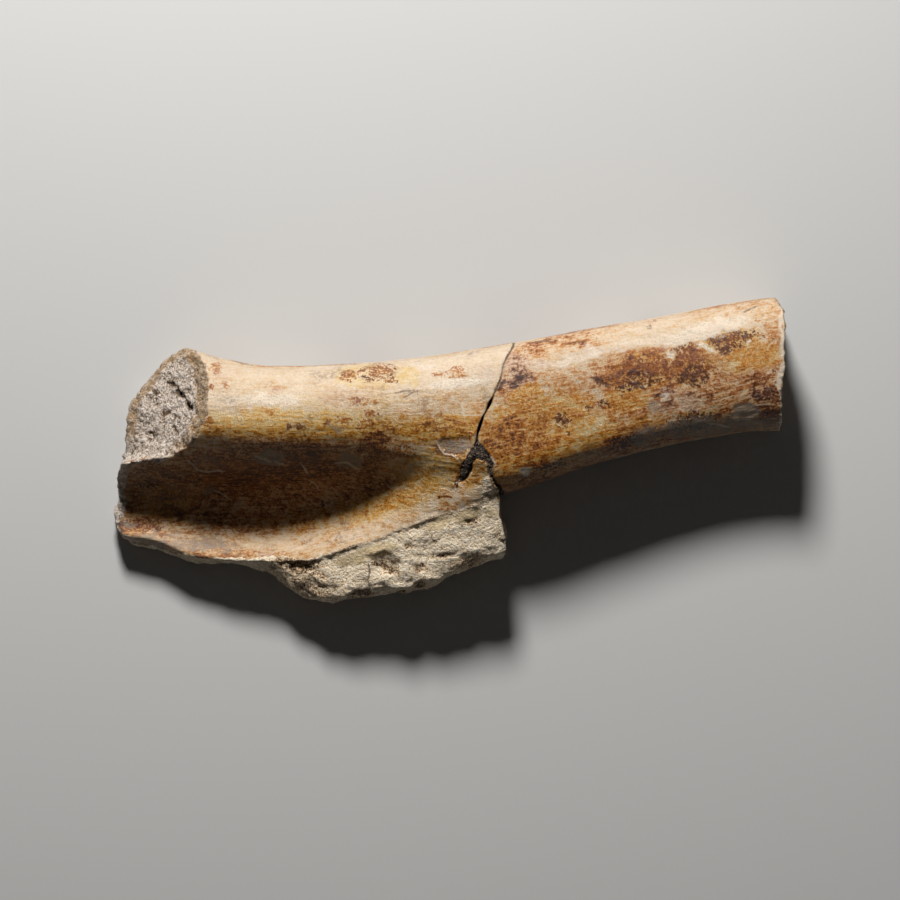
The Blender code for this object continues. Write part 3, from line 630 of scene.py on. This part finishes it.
# Grains in the bone: their size in millimetres, their layers, and how strong the small ones are
SPECKLE, MOTTLE, BROAD, CLUMPS = (1.3, 6.0, 0.75), (3.0, 5.0, 0.68), (12.0, 3.0, 0.55), (1.9, 3.0, 0.55)
FINE, SAND, STREAKS, GRAIN_DRAWN = (0.85, 3.0, 0.7), (0.5, 1.0, 0.5), (0.9, 5.0, 0.7), 0.18
SPECK_BLUR, DOT_BLUR, BLOT_BLUR, STRIPE_BLUR = 0.42, 0.3, 0.6, 0.45
SCATTER_LEAST, SCATTER_RISE, SCATTER_END = 0.06, 1.7, 1.1
# How pale broken bone is, how much paler the margin is, and how much dirt and painted shade darken it
RUBBLE_LEVEL, MARGIN_PALER, DIRT_AND_SHADE_DARKENS = 0.6, 0.13, 0.5

# Where each paint begins to cover and covers fully, out of its strength with some grain added
PAINT_EDGE, GREY_EDGE, PALE_EDGE, CLAY_EDGE = (0.2, 0.8), (0.3, 0.9), (0.35, 0.85), (0.35, 0.75)
MARGIN_EDGE, BROKEN_EDGE, FLECK_RAGGED, FLECK_EDGE = (0.4, 0.6), (0.35, 0.65), (0.05, 0.35), (0.4, 0.52)
RUST_FROM, GREY_GRAINS, LOW_GRAINS, PORE_GRAINS = (0.2, 0.4), (-0.8, 0.7), (-0.4, 0.4), (0.1, -0.7)
BROWN_SPOTS, BAND_GRAINS = (0.05, 0.6), (1.2, -0.6)

# How much of what lies under it each paint covers at most, how wide lines are in pixels, and the gloss
GREY_COVER, PALE_COVER, LOW_SHADE_AND_DIRT_COVER, PORE_COVER = 0.75, 0.8, 0.6, 0.3
BAND_COVER, BROWN_SPOT_COVER, CLAY_COVER = 0.95, 0.4, 0.7
DARK_LINE_COVER, DARK_LINE_WIDE, PALE_LINE_COVER, PALE_LINE_WIDE, LINE_BLUR = 0.65, 0.65, 0.7, 0.75, 0.45
OUTSIDE_ROUGH, BROKEN_ROUGHER = 0.17, 0.55
FLAKE_STEP, CLAY_SMOOTH = 0.12, 0.45


def bone_material(name, tilt, rust):
    """Fossil bone: glossy and stained outside, with painted highlights and painted shade, gritty where it is
    broken.

    Its grain has this tilt in degrees, and rust from 0 to 1 says how far its stains turn to rust.
    """
    material = bpy.data.materials.new(name)
    material.use_nodes = True
    tree = material.node_tree
    shader = tree.nodes["Principled BSDF"]
    start = Wire(tree)

    def paint(paint_name):
        return start.node("Attribute", {}, output="Fac", attribute_name=paint_name)

    def line(line_name, wide, unevenness):
        off = abs(paint(line_name + "_off")) + unevenness
        return (paint(line_name + "_near") * wide - off).between(-LINE_BLUR, LINE_BLUR)

    place = start.millimetres()
    turned = start.node("Mapping", {"Vector": place, "Rotation": (0, 0, math.radians(-tilt))})
    grained = start.node("Mapping", {"Vector": turned, "Scale": (GRAIN_DRAWN, 1, 1)})

    speckle = place.grains(*SPECKLE)
    mottle = place.grains(*MOTTLE)
    broad = place.grains(*BROAD)
    streaks = grained.grains(*STREAKS)
    clumps = place.grains(*CLUMPS)
    fine = place.grains(*FINE)
    sand = place.grains(*SAND)
    specks = speckle.parted(SPECK_BLUR)
    dots = fine.parted(DOT_BLUR)
    blots = mottle.parted(BLOT_BLUR)
    stripes = streaks.parted(STRIPE_BLUR)

    # The outside: specks of stain lie thickest where the stain is about half strong, and flecks end in
    # crumbling edges
    stain_and_shade = paint("stain_and_shade")
    scatter = SCATTER_LEAST + stain_and_shade * stain_and_shade * (SCATTER_END - stain_and_shade) * SCATTER_RISE
    level = stain_and_shade + (dots * 0.4 + specks * 0.38 + blots * 0.5 + stripes * 0.5) * scatter
    level = (level + (speckle + broad + fine) * 0.05) | (stain_and_shade * 0.5)
    fleck = paint("fleck")
    fleck_edge = (specks * 0.19 + blots * 0.14 + dots * 0.27) * fleck.between(*FLECK_RAGGED)
    flecked = (fleck * 0.76 + fleck_edge).between(*FLECK_EDGE)
    fleck_level = paint("fleck_level") + (specks + dots + blots) * 0.1
    level = level + flecked * (fleck_level - level)
    yellow = (paint("yellow") + mottle * 0.2).between(*PAINT_EDGE)
    colour = yellow.blend(level.ramp(WARM_STAIN), level.ramp(GOLD_STAIN))
    colour = (level.between(*RUST_FROM) * rust).tinted(colour, RUST_TINT)
    violet = (paint("violet") + mottle * 0.2).between(*PAINT_EDGE)
    colour = violet.blend(colour, level.ramp(VIOLET_STAIN))
    grey = (paint("grey") + mottle * 0.35 + speckle * 0.35).between(*GREY_EDGE)
    grey_paint = (streaks + speckle).between(*GREY_GRAINS).blend(GREY_DEEP, GREY_BONE)
    colour = (grey * GREY_COVER).blend(colour, grey_paint)
    # Pale bone and painted highlights
    pale = (paint("pale") + mottle * 0.3 + speckle * 0.25).between(*PALE_EDGE)
    colour = (pale * PALE_COVER).blend(colour, PALE_BONE_AND_HIGHLIGHT)
    # Painted shade and dirt where the surface lies low
    colour = (paint("low") * speckle.between(*LOW_GRAINS) * LOW_SHADE_AND_DIRT_COVER).blend(colour, LINE_DARK)
    colour = (fine.between(*PORE_GRAINS) * PORE_COVER).blend(colour, LINE_DARK)

    # Where it is broken: pale grains of bone with dirt and painted shade between them, and smooth clay in
    # patches
    margin = paint("margin").between(*MARGIN_EDGE)
    rubble = RUBBLE_LEVEL + margin * MARGIN_PALER + fine * 0.4 + sand * 0.3 + speckle * 0.18
    rubble = rubble + clumps * 0.16 + mottle * 0.1 - paint("dirt_and_shade") * DIRT_AND_SHADE_DARKENS
    torn = margin.blend(rubble.ramp(BROKEN_BONE), rubble.ramp(BROKEN_MARGIN))
    browned = (paint("band") * BAND_COVER) | (mottle.between(*BROWN_SPOTS) * BROWN_SPOT_COVER)
    torn = (browned * (fine * 0.5 + mottle * 0.3).between(*BAND_GRAINS)).blend(torn, BAND_PAINT)
    clay = (paint("clay") + mottle * 0.35 + fine * 0.2).between(*CLAY_EDGE)
    torn = (clay * CLAY_COVER).blend(torn, CLAY_PAINT)
    is_broken = paint("broken").between(*BROKEN_EDGE)
    colour = is_broken.blend(colour, torn)

    # Dark cracks and scratches, and pale lines: pale scratches and painted highlights on edges
    dark_line = line("dark", DARK_LINE_WIDE, specks * 0.5 + fine * 0.3)
    pale_and_highlight_line = line("pale", PALE_LINE_WIDE, blots * 0.35 + fine * 0.3)
    colour = (pale_and_highlight_line * PALE_LINE_COVER).blend(colour, LINE_PALE_AND_HIGHLIGHT)
    colour = (dark_line * DARK_LINE_COVER).blend(colour, LINE_DARK)
    tree.links.new(colour.socket, shader.inputs["Base Color"])

    roughness = OUTSIDE_ROUGH + speckle * 0.06 + mottle * 0.05 + is_broken * BROKEN_ROUGHER
    tree.links.new(roughness.socket, shader.inputs["Roughness"])

    # Heights in millimetres of what is too fine for the mesh
    smooth_height = speckle * 0.10 + fine * 0.08 + mottle * 0.06 + streaks * 0.08 - dark_line * 0.1
    flake = (paint("flake") + blots * 1.5).between(-1.0, 1.0) * FLAKE_STEP
    torn_height = (fine * 0.27 + speckle * 0.16 + clumps * 0.18) * (1 - clay * CLAY_SMOOTH)
    torn_height = torn_height - dark_line * 0.3
    height = (smooth_height - flake) * (1 - is_broken) + torn_height * is_broken
    bump = start.node("Bump", {"Height": height, "Distance": MM, "Strength": 1.0}, output="Normal")
    tree.links.new(bump.socket, shader.inputs["Normal"])
    return material


flared = working_copy("flared_end", "flared_bone", FLARED_NET)
points, facing = measured(flared)
edge_spots = seen(points) + EDGE_WANDER * wandering(points, 2, 30)
lip_down = np.interp(seen(points)[:, 0], *zip(*LIP_LINE))
upwards = ease(*SEEN_BROKEN, facing[:, 2])
strip = ease(-1, 1, inside(edge_spots, LEFT_STRIP)) * upwards
rim_face = np.maximum(ease(-1, 1, inside(edge_spots, RIM_FACE)) * upwards, strip)
at_left = np.maximum(rim_face, ease(*LEFT_END, points[:, 0]) * ease(*END_ON, -facing[:, 0]))
at_join = ease(*FLARED_JOIN_END, points[:, 0]) * ease(*END_ON, facing[:, 0])
corner = ease(-CORNER_BLUR, CORNER_BLUR, inside(edge_spots, BROKEN_CORNER)) * upwards
below_lip = ease(*LIP_BLUR, edge_spots[:, 1] - lip_down) * ease(*MARGIN_SIDES, facing[:, 2])
margin = np.maximum(below_lip, corner) * (1 - at_left)
broken = np.maximum.reduce([at_left, at_join, margin])
smoothed(flared, 1 - np.maximum(BROKEN_KEPT * broken, at_join_edge(points)))

points, facing = measured(flared)
spots = seen(points)
ragged = spots + PIT_WANDER * wandering(points, 2.5, 30)
from_lip = abs(spots[:, 1] - lip_down)
front = ease(*SEEN_SHAPE, facing[:, 2])
in_clay = in_patches(spots, MARGIN_CLAY) * front
face_lumps = rough(points, FACE_LUMPS) - PIT_DEPTH * in_patches(ragged, FACE_PITS) * front

# The margin's bone is split into slanted splinters at its left and crumbles at its right
slant = math.radians(STREAK_TURN)
across_grain = [(math.cos(slant), -math.sin(slant), 0), (math.sin(slant), math.cos(slant), 0), (0, 0, 1)]
splinters = rough(points @ np.array(across_grain), SPLINTER_LUMPS) + rough(points, SPLINTER_GRAIN)
streaky = ease(STREAKS_END + STREAKS_BLUR, STREAKS_END - STREAKS_BLUR, spots[:, 0])
margin_lumps = splinters * streaky + rough(points, CRUMB_LUMPS) * (1 - streaky)
margin_lumps *= 1 - CLAY_FILLS * in_clay
margin_lumps -= PIT_DEPTH * in_patches(0.5 * (spots + ragged), MARGIN_PITS) * upwards
margin_lumps += (LIP_HIGH + rough(points, LIP_LUMPS)) * ease(LIP_WIDE, 0, from_lip) * front

flake = flaked(points, facing, FLARED_FLAKES)
sunken = FLARED_FLAKE_DEPTH * ease(*FLAKE_EDGE, flake)
scaly = TROUGH_GRAIN_LEAST + TROUGH_GRAIN * ease(*TROUGH_FROM, spots[:, 1])
lumps = rough(points, FLARED_WAVES) + scaly * uneven(points, GRAIN_SIZE) - sunken
lumps = lumps * (1 - broken) + face_lumps * at_left + margin_lumps * margin
lumps = lumps * (1 - at_join) + join_lumps(points) * at_join
lift = lifted(points, facing, FLARED_SWELLS)
moved(flared, points + facing * lumps[:, None] + np.outer(lift, (0, 0, 1)))

# Dirt and painted shade in the dips and listed grooves of the broken faces, and low in the open join
in_join = at_join * ease(JOIN_OPEN_FROM - JOIN_TAPER, JOIN_OPEN_FROM, points[:, 1])
in_dips = ease(*DIP_DIRT_AND_SHADE, lumps) + in_patches(ragged, MARGIN_DIRT_AND_SHADE) * margin * upwards
# The left strip keeps little of the dirt and painted shade, so it is painted lighter where the lamp hardly
# reaches it
in_dips = np.clip(in_dips, 0, 1) * broken * (1 - STRIP_LIGHTENED * strip)
# A band of brown stain and painted shade just under the lip
along_lip = ease(*LIP_BAND_WIDE, abs(ragged[:, 1] - lip_down)) * ease(*LIP_BAND_FROM, spots[:, 0])
bands = [LIP_STAIN_AND_SHADE * margin * along_lip]
for strength, full, gone, line in RIM_BANDS:
    bands.append(strength * at_left * ease(gone, full, abs(off_line(spots, line))))
paints = {
    "yellow": patched(points, facing, FLARED_YELLOW, BACK_YELLOW),
    "violet": patched(points, facing, FLARED_VIOLET, BACK_VIOLET, VIOLET_SHIFT),
    "grey": patched(points, facing, FLARED_GREY, BACK_GREY),
    "pale": patched(points, facing, FLARED_PALE_AND_HIGHLIGHT, BACK_PALE),
    # Painted shade and dirt where the surface lies low
    "low": ease(*LOW_SHADE_AND_DIRT, lumps + sunken) * (1 - broken),
    "broken": broken,
    "margin": margin,
    "band": in_join + upwards * (1 - in_join) * np.maximum.reduce(bands),
    "clay": in_clay * margin,
    # Dirt and painted shade
    "dirt_and_shade": in_dips * (1 - in_join) + in_join * ease(*JOIN_DIRT_AND_SHADE_FROM, spots[:, 1]),
    "flake": flake,
}
stained(paints, points, facing, FLARED_GROUND, FLARED_STAINS_AND_SHADE, FLARED_FLECKS)
lined(paints, "dark", points, facing, FLARED_DARK_LINES)
lined(paints, "pale", points, facing, FLARED_PALE_AND_HIGHLIGHT_LINES)
painted(flared, paints)
flared.data.materials.append(bone_material("flared_bone", FLARED_TILT, FLARED_RUST))
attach(flared, "root")
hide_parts("flared_end")

# Shaft: the round right piece of the bone, of the same dense glossy bone with stronger brown and orange
# stains. Its right end is broken off nearly square and shows a dense wall round a spongy core
SHAFT_NET = 0.5
SHAFT_TILT = 12
SHAFT_RUST = 1.0
SHAFT_GROUND = 0.36
WALL, WALL_BLUR, WALL_BAND = 4.5, 1.0, 0.8
# The core's pores: their size, where they begin, and how much dirt and painted shade they hold
PORE_SIZE, PORES_FROM, PORE_DIRT_AND_SHADE = 1.6, 0.15, 0.3
SHAFT_JOIN_END, RIGHT_END = (29, 25), (108, 112)
SHAFT_LUMPS = [(0.16, 11, 0, 3), (0.05, (9, 1.5, 1.5), 0, 3), (0.04, 2.2, 0, 3)]
SHAFT_FLAKE_DEPTH = 0.15
END_LUMPS = [(0.4, 2.4, 0, 3), (0.28, 1.2, 10, 2)]

# Its marks and its one swell, given as those of the flared end are. A shape is the level and the outline of
# a large fleck
SHAFT_STAINS = [
    (640, 338, 150, 17, 11, 0.17), (590, 366, 70, 10, 12, 0.27), (560, 360, 34, 6, 10, 0.16),
    (517, 367, 14, 13, 8, 0.52), (538, 365, 12, 5, 10, 0.18), (575, 345, 40, 9, 10, 0.26),
    (543, 341, 14, 3, 8, 0.66), (532, 349, 13, 2.5, 6, 0.60), (577, 343, 14, 4, 8, 0.58),
    (517, 381, 18, 5, 17, 0.84), (527, 398, 20, 13, 4, 0.45), (490, 415, 10, 11, 0, 0.28),
    (523, 417, 24, 10, 6, 0.55), (511, 423, 9, 9, 0, 0.66), (506, 444, 18, 22, 10, 0.72),
    (575, 443, 42, 20, 12, 0.28), (530, 445, 30, 20, 10, 0.54), (627, 412, 22, 14, 8, 0.50),
    (625, 395, 16, 5, 6, 0.36), (560, 402, 20, 12, 8, 0.38), (576, 385, 30, 9, 10, 0.34),
    (634, 371, 37, 18, 9, 0.52), (560, 404, 34, 12, 8, 0.42),
    (605, 376, 12, 9, 10, 0.64), (623, 370, 10, 8, 0, 0.62), (655, 358, 14, 8, 8, 0.62),
    (689, 373, 24, 12, 4, 0.62), (695, 352, 12, 9, 0, 0.52),
    (759, 377, 20, 7, 4, 0.62), (719, 390, 13, 10, 0, 0.54), (763, 394, 17, 9, 0, 0.84),
    (667, 387, 6, 5, 0, 0.74), (662, 394, 8, 4, 0, 0.70), (667, 405, 6, 6, 0, 0.70),
    (687, 405, 14, 10, 0, 0.36), (740, 396, 14, 8, 0, 0.40), (700, 397, 16, 5, 0, 0.56),
    (721, 414, 7, 3.5, 0, 0.88), (768, 413, 11, 9, 0, 0.80), (625, 443, 20, 9, 14, 0.86),
    (640, 430, 22, 6, 16, 0.46), (540, 467, 14, 6, 8, 0.70), (531, 480, 34, 9, 8, 0.54),
    (700, 436, 90, 8, 2, 0.62), (590, 462, 36, 8, 18, 0.50), (728, 342, 28, 11, -8, 0.50),
]
SHAFT_SHAPES = [
    (0.72, [(611, 375), (615, 366), (621, 360), (632, 356), (644, 359), (659, 360), (669, 364), (672, 352),
            (679, 344), (690, 343), (700, 346), (705, 356), (707, 362), (716, 368), (709, 377), (703, 383),
            (690, 382), (681, 377), (671, 381), (662, 378), (652, 381), (642, 386), (631, 389), (621, 390),
            (615, 385)]),
    (0.90, [(630, 372), (645, 370), (655, 374), (660, 381), (650, 385), (640, 388), (625, 390), (618, 388),
            (625, 380)]),
    (0.90, [(678, 375), (688, 365), (703, 366), (711, 374), (705, 384), (690, 387), (680, 382)]),
    (0.86, [(706, 339), (715, 335), (727, 331), (740, 331), (755, 330), (752, 337), (745, 344), (735, 349),
            (722, 354), (716, 350), (712, 343)]),
    (0.42, [(722, 358), (735, 352), (750, 347), (765, 343), (778, 340), (779, 365), (765, 372), (750, 368),
            (738, 362)]),
    (0.92, [(668, 420), (680, 416), (695, 412), (710, 411), (720, 415), (722, 419), (710, 419), (704, 428),
            (695, 431), (680, 430), (672, 427)]),
]
SHAFT_FLECKS = [
    (671, 356, 5, 5, 0, 0.08), (708, 347, 9, 3, -32, 0.05), (761, 336, 5, 3.5, 0, 0.62),
    (724, 329, 4, 2, 0, 0.82), (748, 344.5, 4.5, 2.5, 0, 0.05), (732, 365, 8, 3, 6, 0.10),
    (773, 369, 3.5, 3, 0, 0.84), (764, 374, 7, 2, 0, 0.70), (665, 397, 5, 1.8, 0, 0.10),
    (594, 379, 3.5, 2, 20, 0.90), (603, 383, 7, 2.4, -16, 0.88), (604, 404, 4.5, 4.5, 0, 0.92),
    (586, 409, 3, 3.5, 0, 0.86), (564, 420, 8, 5.5, -10, 0.88), (567, 432, 2, 2, 0, 0.80),
    (622, 393, 3.5, 1.4, 0, 0.80), (594, 406, 3, 4, 0, 0.55), (523, 393, 6, 2, 0, 0.28),
    (595, 425, 16, 3, 45, 0.10), (526, 472, 7, 2.2, 4, 0.04), (648, 325, 2.5, 2, 0, 0.82),
    (653, 321, 2, 1.5, 0, 0.70), (758, 320, 3, 2, 0, 0.40), (768, 321, 3, 2, 0, 0.40),
    (782, 320, 2, 2, 0, 0.7), (780, 351, 2, 3, 0, 0.7), (779, 385, 2, 3, 0, 0.8),
    (779, 420, 2, 3, 0, 0.8), (625, 443, 15, 6, 16, 0.92), (547, 466, 16, 5, 12, 0.82),
    (764, 394, 14, 7, 0, 0.86), (531, 480, 22, 3, 16, 0.74),
]
SHAFT_SWELLS = [(572, 468, 82, 26, 18, 2.2)]
SHAFT_YELLOW = [
    (527, 397, 22, 14, 0, 1.0), (752, 356, 32, 15, 8, 1.0), (625, 400, 26, 14, 6, 0.9),
    (560, 440, 66, 26, 12, 1.0), (520, 478, 40, 12, 8, 1.0), (540, 420, 62, 30, 10, 0.9),
    (640, 425, 30, 10, 14, 0.6), (728, 341, 34, 13, 8, 1.0), (690, 366, 30, 22, 4, 0.8),
    (508, 444, 26, 30, 10, 1.0), (640, 372, 42, 20, 9, 0.8), (698, 421, 34, 12, 4, 0.6),
]
SHAFT_VIOLET = [
    (517, 366, 16, 13, 0, 0.9), (540, 365, 14, 6, 8, 0.7), (517, 381, 19, 6, 17, 1.0),
    (587, 351, 16, 7, 8, 0.7), (765, 394, 20, 10, 0, 0.6), (667, 392, 9, 7, 0, 0.8),
    (667, 405, 8, 8, 0, 0.7), (690, 402, 24, 12, 0, 0.6),
]
SHAFT_GREY = [
    (655, 408, 6, 11, 0, 0.75), (745, 411, 15, 7, 6, 1.0), (715, 428, 74, 11, 3, 0.75),
    (648, 436, 26, 10, 20, 0.7), (590, 460, 30, 8, 20, 0.45), (690, 404, 14, 8, 0, 0.35),
]
# Pale bone, and painted highlights along the shaft's top
SHAFT_PALE_AND_HIGHLIGHT = [
    (706, 331, 54, 9, 12, 0.9), (610, 348, 60, 7, 12, 0.6), (707, 347, 10, 4, -32, 0.9),
    (671, 356, 5, 6, 0, 0.8), (573, 360, 30, 5, 10, 0.7), (526, 472, 8, 3, 0, 0.9),
    (748, 344, 5, 3, 0, 0.8), (665, 397, 6, 3, 0, 0.8), (655, 325, 60, 5, 14, 0.5),
    (782, 366, 4, 60, 0, 0.9),
]
SHAFT_FLAKES = [
    [(731, 410), (735, 406), (744, 403), (752, 405), (760, 409), (758, 414), (752, 417), (740, 420),
     (732, 418)],
    [(520, 470), (527, 468), (533, 470), (530, 474), (523, 475)],
]
SHAFT_DARK_LINES = [
    [(744, 312), (750, 309), (756, 307)],
    [(536, 342), (545, 341), (552, 342)], [(570, 344), (577, 342), (584, 341)],
    [(592, 378), (598, 380), (605, 384), (611, 385)],
    [(514, 346), (508.5, 355), (505, 361)], [(499.5, 384), (496, 391)],
]
# Pale scratches, and painted highlights along edges
SHAFT_PALE_AND_HIGHLIGHT_LINES = [
    [(735, 420), (745, 420), (751, 418)], [(711, 424), (720, 425), (728, 427)],
    [(757, 405), (764, 404), (770, 404)], [(760, 434), (766, 436)],
    [(486, 451), (490, 455), (494, 460), (495, 464)], [(781, 304), (784, 330), (784, 370), (780, 428)],
]

shaft = working_copy("shaft", "shaft_bone", SHAFT_NET)
points, facing = measured(shaft)
at_join = ease(*SHAFT_JOIN_END, points[:, 0]) * ease(*END_ON, -facing[:, 0])
at_end = ease(*RIGHT_END, points[:, 0]) * ease(*END_ON, facing[:, 0])
broken = np.maximum(at_join, at_end)
smoothed(shaft, 1 - np.maximum(BROKEN_KEPT * broken, at_join_edge(points)))

points, facing = measured(shaft)
spots = seen(points)
flake = flaked(points, facing, SHAFT_FLAKES)
sunken = SHAFT_FLAKE_DEPTH * ease(*FLAKE_EDGE, flake)
lumps = (rough(points, SHAFT_LUMPS) - sunken) * (1 - broken) + rough(points, END_LUMPS) * at_end
lumps += join_lumps(points) * at_join
lift = lifted(points, facing, SHAFT_SWELLS)
moved(shaft, points + facing * lumps[:, None] + np.outer(lift, (0, 0, 1)))

outside = KDTree(int(np.sum(broken < 0.5)))
for index, point in enumerate(points[broken < 0.5]):
    outside.insert(point, index)
outside.balance()
depth = np.array([outside.find(point)[2] if share else 0.0 for point, share in zip(points, at_end)])
wall = np.where(at_end > 0, ease(WALL + WALL_BLUR, WALL - WALL_BLUR, depth), 0.0)
pores = uneven(points + 15, PORE_SIZE) > PORES_FROM
# Dirt and painted shade in the dips and in the pores of the spongy core
in_dips = np.clip(ease(*DIP_DIRT_AND_SHADE, lumps) + PORE_DIRT_AND_SHADE * (1 - wall) * pores, 0, 1)
paints = {
    "yellow": patched(points, facing, SHAFT_YELLOW, BACK_YELLOW),
    "violet": patched(points, facing, SHAFT_VIOLET, BACK_VIOLET, VIOLET_SHIFT),
    "grey": patched(points, facing, SHAFT_GREY, BACK_GREY),
    "pale": patched(points, facing, SHAFT_PALE_AND_HIGHLIGHT, BACK_PALE),
    # Painted shade and dirt where the surface lies low
    "low": ease(*LOW_SHADE_AND_DIRT, lumps + sunken) * (1 - broken),
    "broken": broken,
    "margin": np.zeros(len(points)),
    "band": WALL_BAND * wall + at_join,
    "clay": np.zeros(len(points)),
    # Dirt and painted shade on the broken end and low in the open join
    "dirt_and_shade": in_dips * at_end + at_join * ease(*JOIN_DIRT_AND_SHADE_FROM, spots[:, 1]),
    "flake": flake,
}
stained(paints, points, facing, SHAFT_GROUND, SHAFT_STAINS, SHAFT_FLECKS, SHAFT_SHAPES)
lined(paints, "dark", points, facing, SHAFT_DARK_LINES)
lined(paints, "pale", points, facing, SHAFT_PALE_AND_HIGHLIGHT_LINES)
painted(shaft, paints)
shaft.data.materials.append(bone_material("shaft_bone", SHAFT_TILT, SHAFT_RUST))
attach(shaft, "root")
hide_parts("shaft")

# Join grit: dark sandy filling in the open part of the join and in the crack that leaves it. It is loose
# mineral grains set in the old glue, level with the bone at the fork and sunk a little in the two arms
GRIT_NET = 0.25
GRIT_SPREAD = 0.6
GRIT_LUMPS = [(0.3, 1.5, 0, 3), (0.3, 0.7, 0, 2)]
GRIT_RISE, GRIT_SINK, GRIT_LEVEL = 0.55, 0.15, 0.38
GRIT_FORK_FROM, GRIT_BY_SHAFT = (468, 450), (480, 490)
GRIT_FINE, GRIT_COARSE, GRIT_ROUGH = (0.6, 2.0, 0.7), (1.2, 3.0, 0.6), 0.7
GRIT_COLOURS = [
    (0.0, (0.008, 0.005, 0.003)), (0.44, (0.030, 0.017, 0.009)), (0.60, (0.13, 0.08, 0.05)),
    (0.76, (0.34, 0.22, 0.13)), (1.0, (0.62, 0.46, 0.31)),
]


def grit_material(name):
    """Dark sandy filling with a few paler grains."""
    material = bpy.data.materials.new(name)
    material.use_nodes = True
    tree = material.node_tree
    shader = tree.nodes["Principled BSDF"]
    place = Wire(tree).millimetres()
    fine, coarse = place.grains(*GRIT_FINE), place.grains(*GRIT_COARSE)
    colour = (GRIT_LEVEL + fine * 0.55 + coarse * 0.2).ramp(GRIT_COLOURS)
    tree.links.new(colour.socket, shader.inputs["Base Color"])
    shader.inputs["Roughness"].default_value = GRIT_ROUGH
    sockets = {"Height": fine * 0.25 + coarse * 0.15, "Distance": MM, "Strength": 1.0}
    bump = place.node("Bump", sockets, output="Normal")
    tree.links.new(bump.socket, shader.inputs["Normal"])
    return material


grit = working_copy("join_grit", "join_filling", GRIT_NET)
points, facing = measured(grit)
spots = seen(points)
lumps = rough(points, GRIT_LUMPS)
rise = GRIT_RISE * ease(*GRIT_FORK_FROM, spots[:, 1]) - GRIT_SINK
pushed = facing * np.column_stack((lumps + GRIT_SPREAD, lumps + GRIT_SPREAD, lumps + rise))

# It is lifted as much as the bone beside it
by_shaft = ease(*GRIT_BY_SHAFT, spots[:, 0])
flared_lift = lifted(points, facing, FLARED_SWELLS)
shaft_lift = lifted(points, facing, SHAFT_SWELLS)
lift = flared_lift * (1 - by_shaft) + shaft_lift * by_shaft
moved(grit, points + pushed + np.outer(lift, (0, 0, 1)))
grit.data.materials.append(grit_material("join_grit"))
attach(grit, "root")
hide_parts("join_grit")

# Table and light: a plain pale table top under the bone, a soft lamp beyond the rim and a little to the left,
# low enough to leave the trough in shade, and faint light from all round
FLOOR_WIDE, FLOOR_DROP = 6000.0, 0.1
FLOOR_PAINT, FLOOR_ROUGH = (0.58, 0.57, 0.55), 0.9
LAMP_RISE, LAMP_AWAY, LAMP_SIDE, LAMP_WIDE, LAMP_POWER = 37.0, 1000.0, -120.0, 220.0, 14.0
ROOM_LIGHT = 0.03
WHITE = (1, 1, 1, 1)

bpy.ops.mesh.primitive_plane_add(size=FLOOR_WIDE * MM, location=(0, 0, -FLOOR_DROP * MM))
floor = bpy.context.object
floor.name = "table_top"
floor_material = bpy.data.materials.new("table_top")
floor_material.use_nodes = True
floor_shader = floor_material.node_tree.nodes["Principled BSDF"]
floor_shader.inputs["Base Color"].default_value = (*FLOOR_PAINT, 1)
floor_shader.inputs["Roughness"].default_value = FLOOR_ROUGH
floor.data.materials.append(floor_material)

lamp_rise = math.radians(LAMP_RISE)
lamp_back, lamp_up = LAMP_AWAY * MM * math.cos(lamp_rise), LAMP_AWAY * MM * math.sin(lamp_rise)
lamp_data = bpy.data.lights.new("lamp", "AREA")
lamp_data.shape = "DISK"
lamp_data.size = LAMP_WIDE * MM
lamp_data.energy = LAMP_POWER
lamp = bpy.data.objects.new("lamp", lamp_data)
lamp.location = (LAMP_SIDE * MM, lamp_back, lamp_up)
lamp.rotation_euler = Vector(lamp.location).to_track_quat("Z", "Y").to_euler()
bpy.context.scene.collection.objects.link(lamp)

world = bpy.data.worlds.new("room")
world.use_nodes = True
world.node_tree.nodes["Background"].inputs["Color"].default_value = WHITE
world.node_tree.nodes["Background"].inputs["Strength"].default_value = ROOM_LIGHT
bpy.context.scene.world = world
bpy.context.scene.view_settings.view_transform = "Standard"
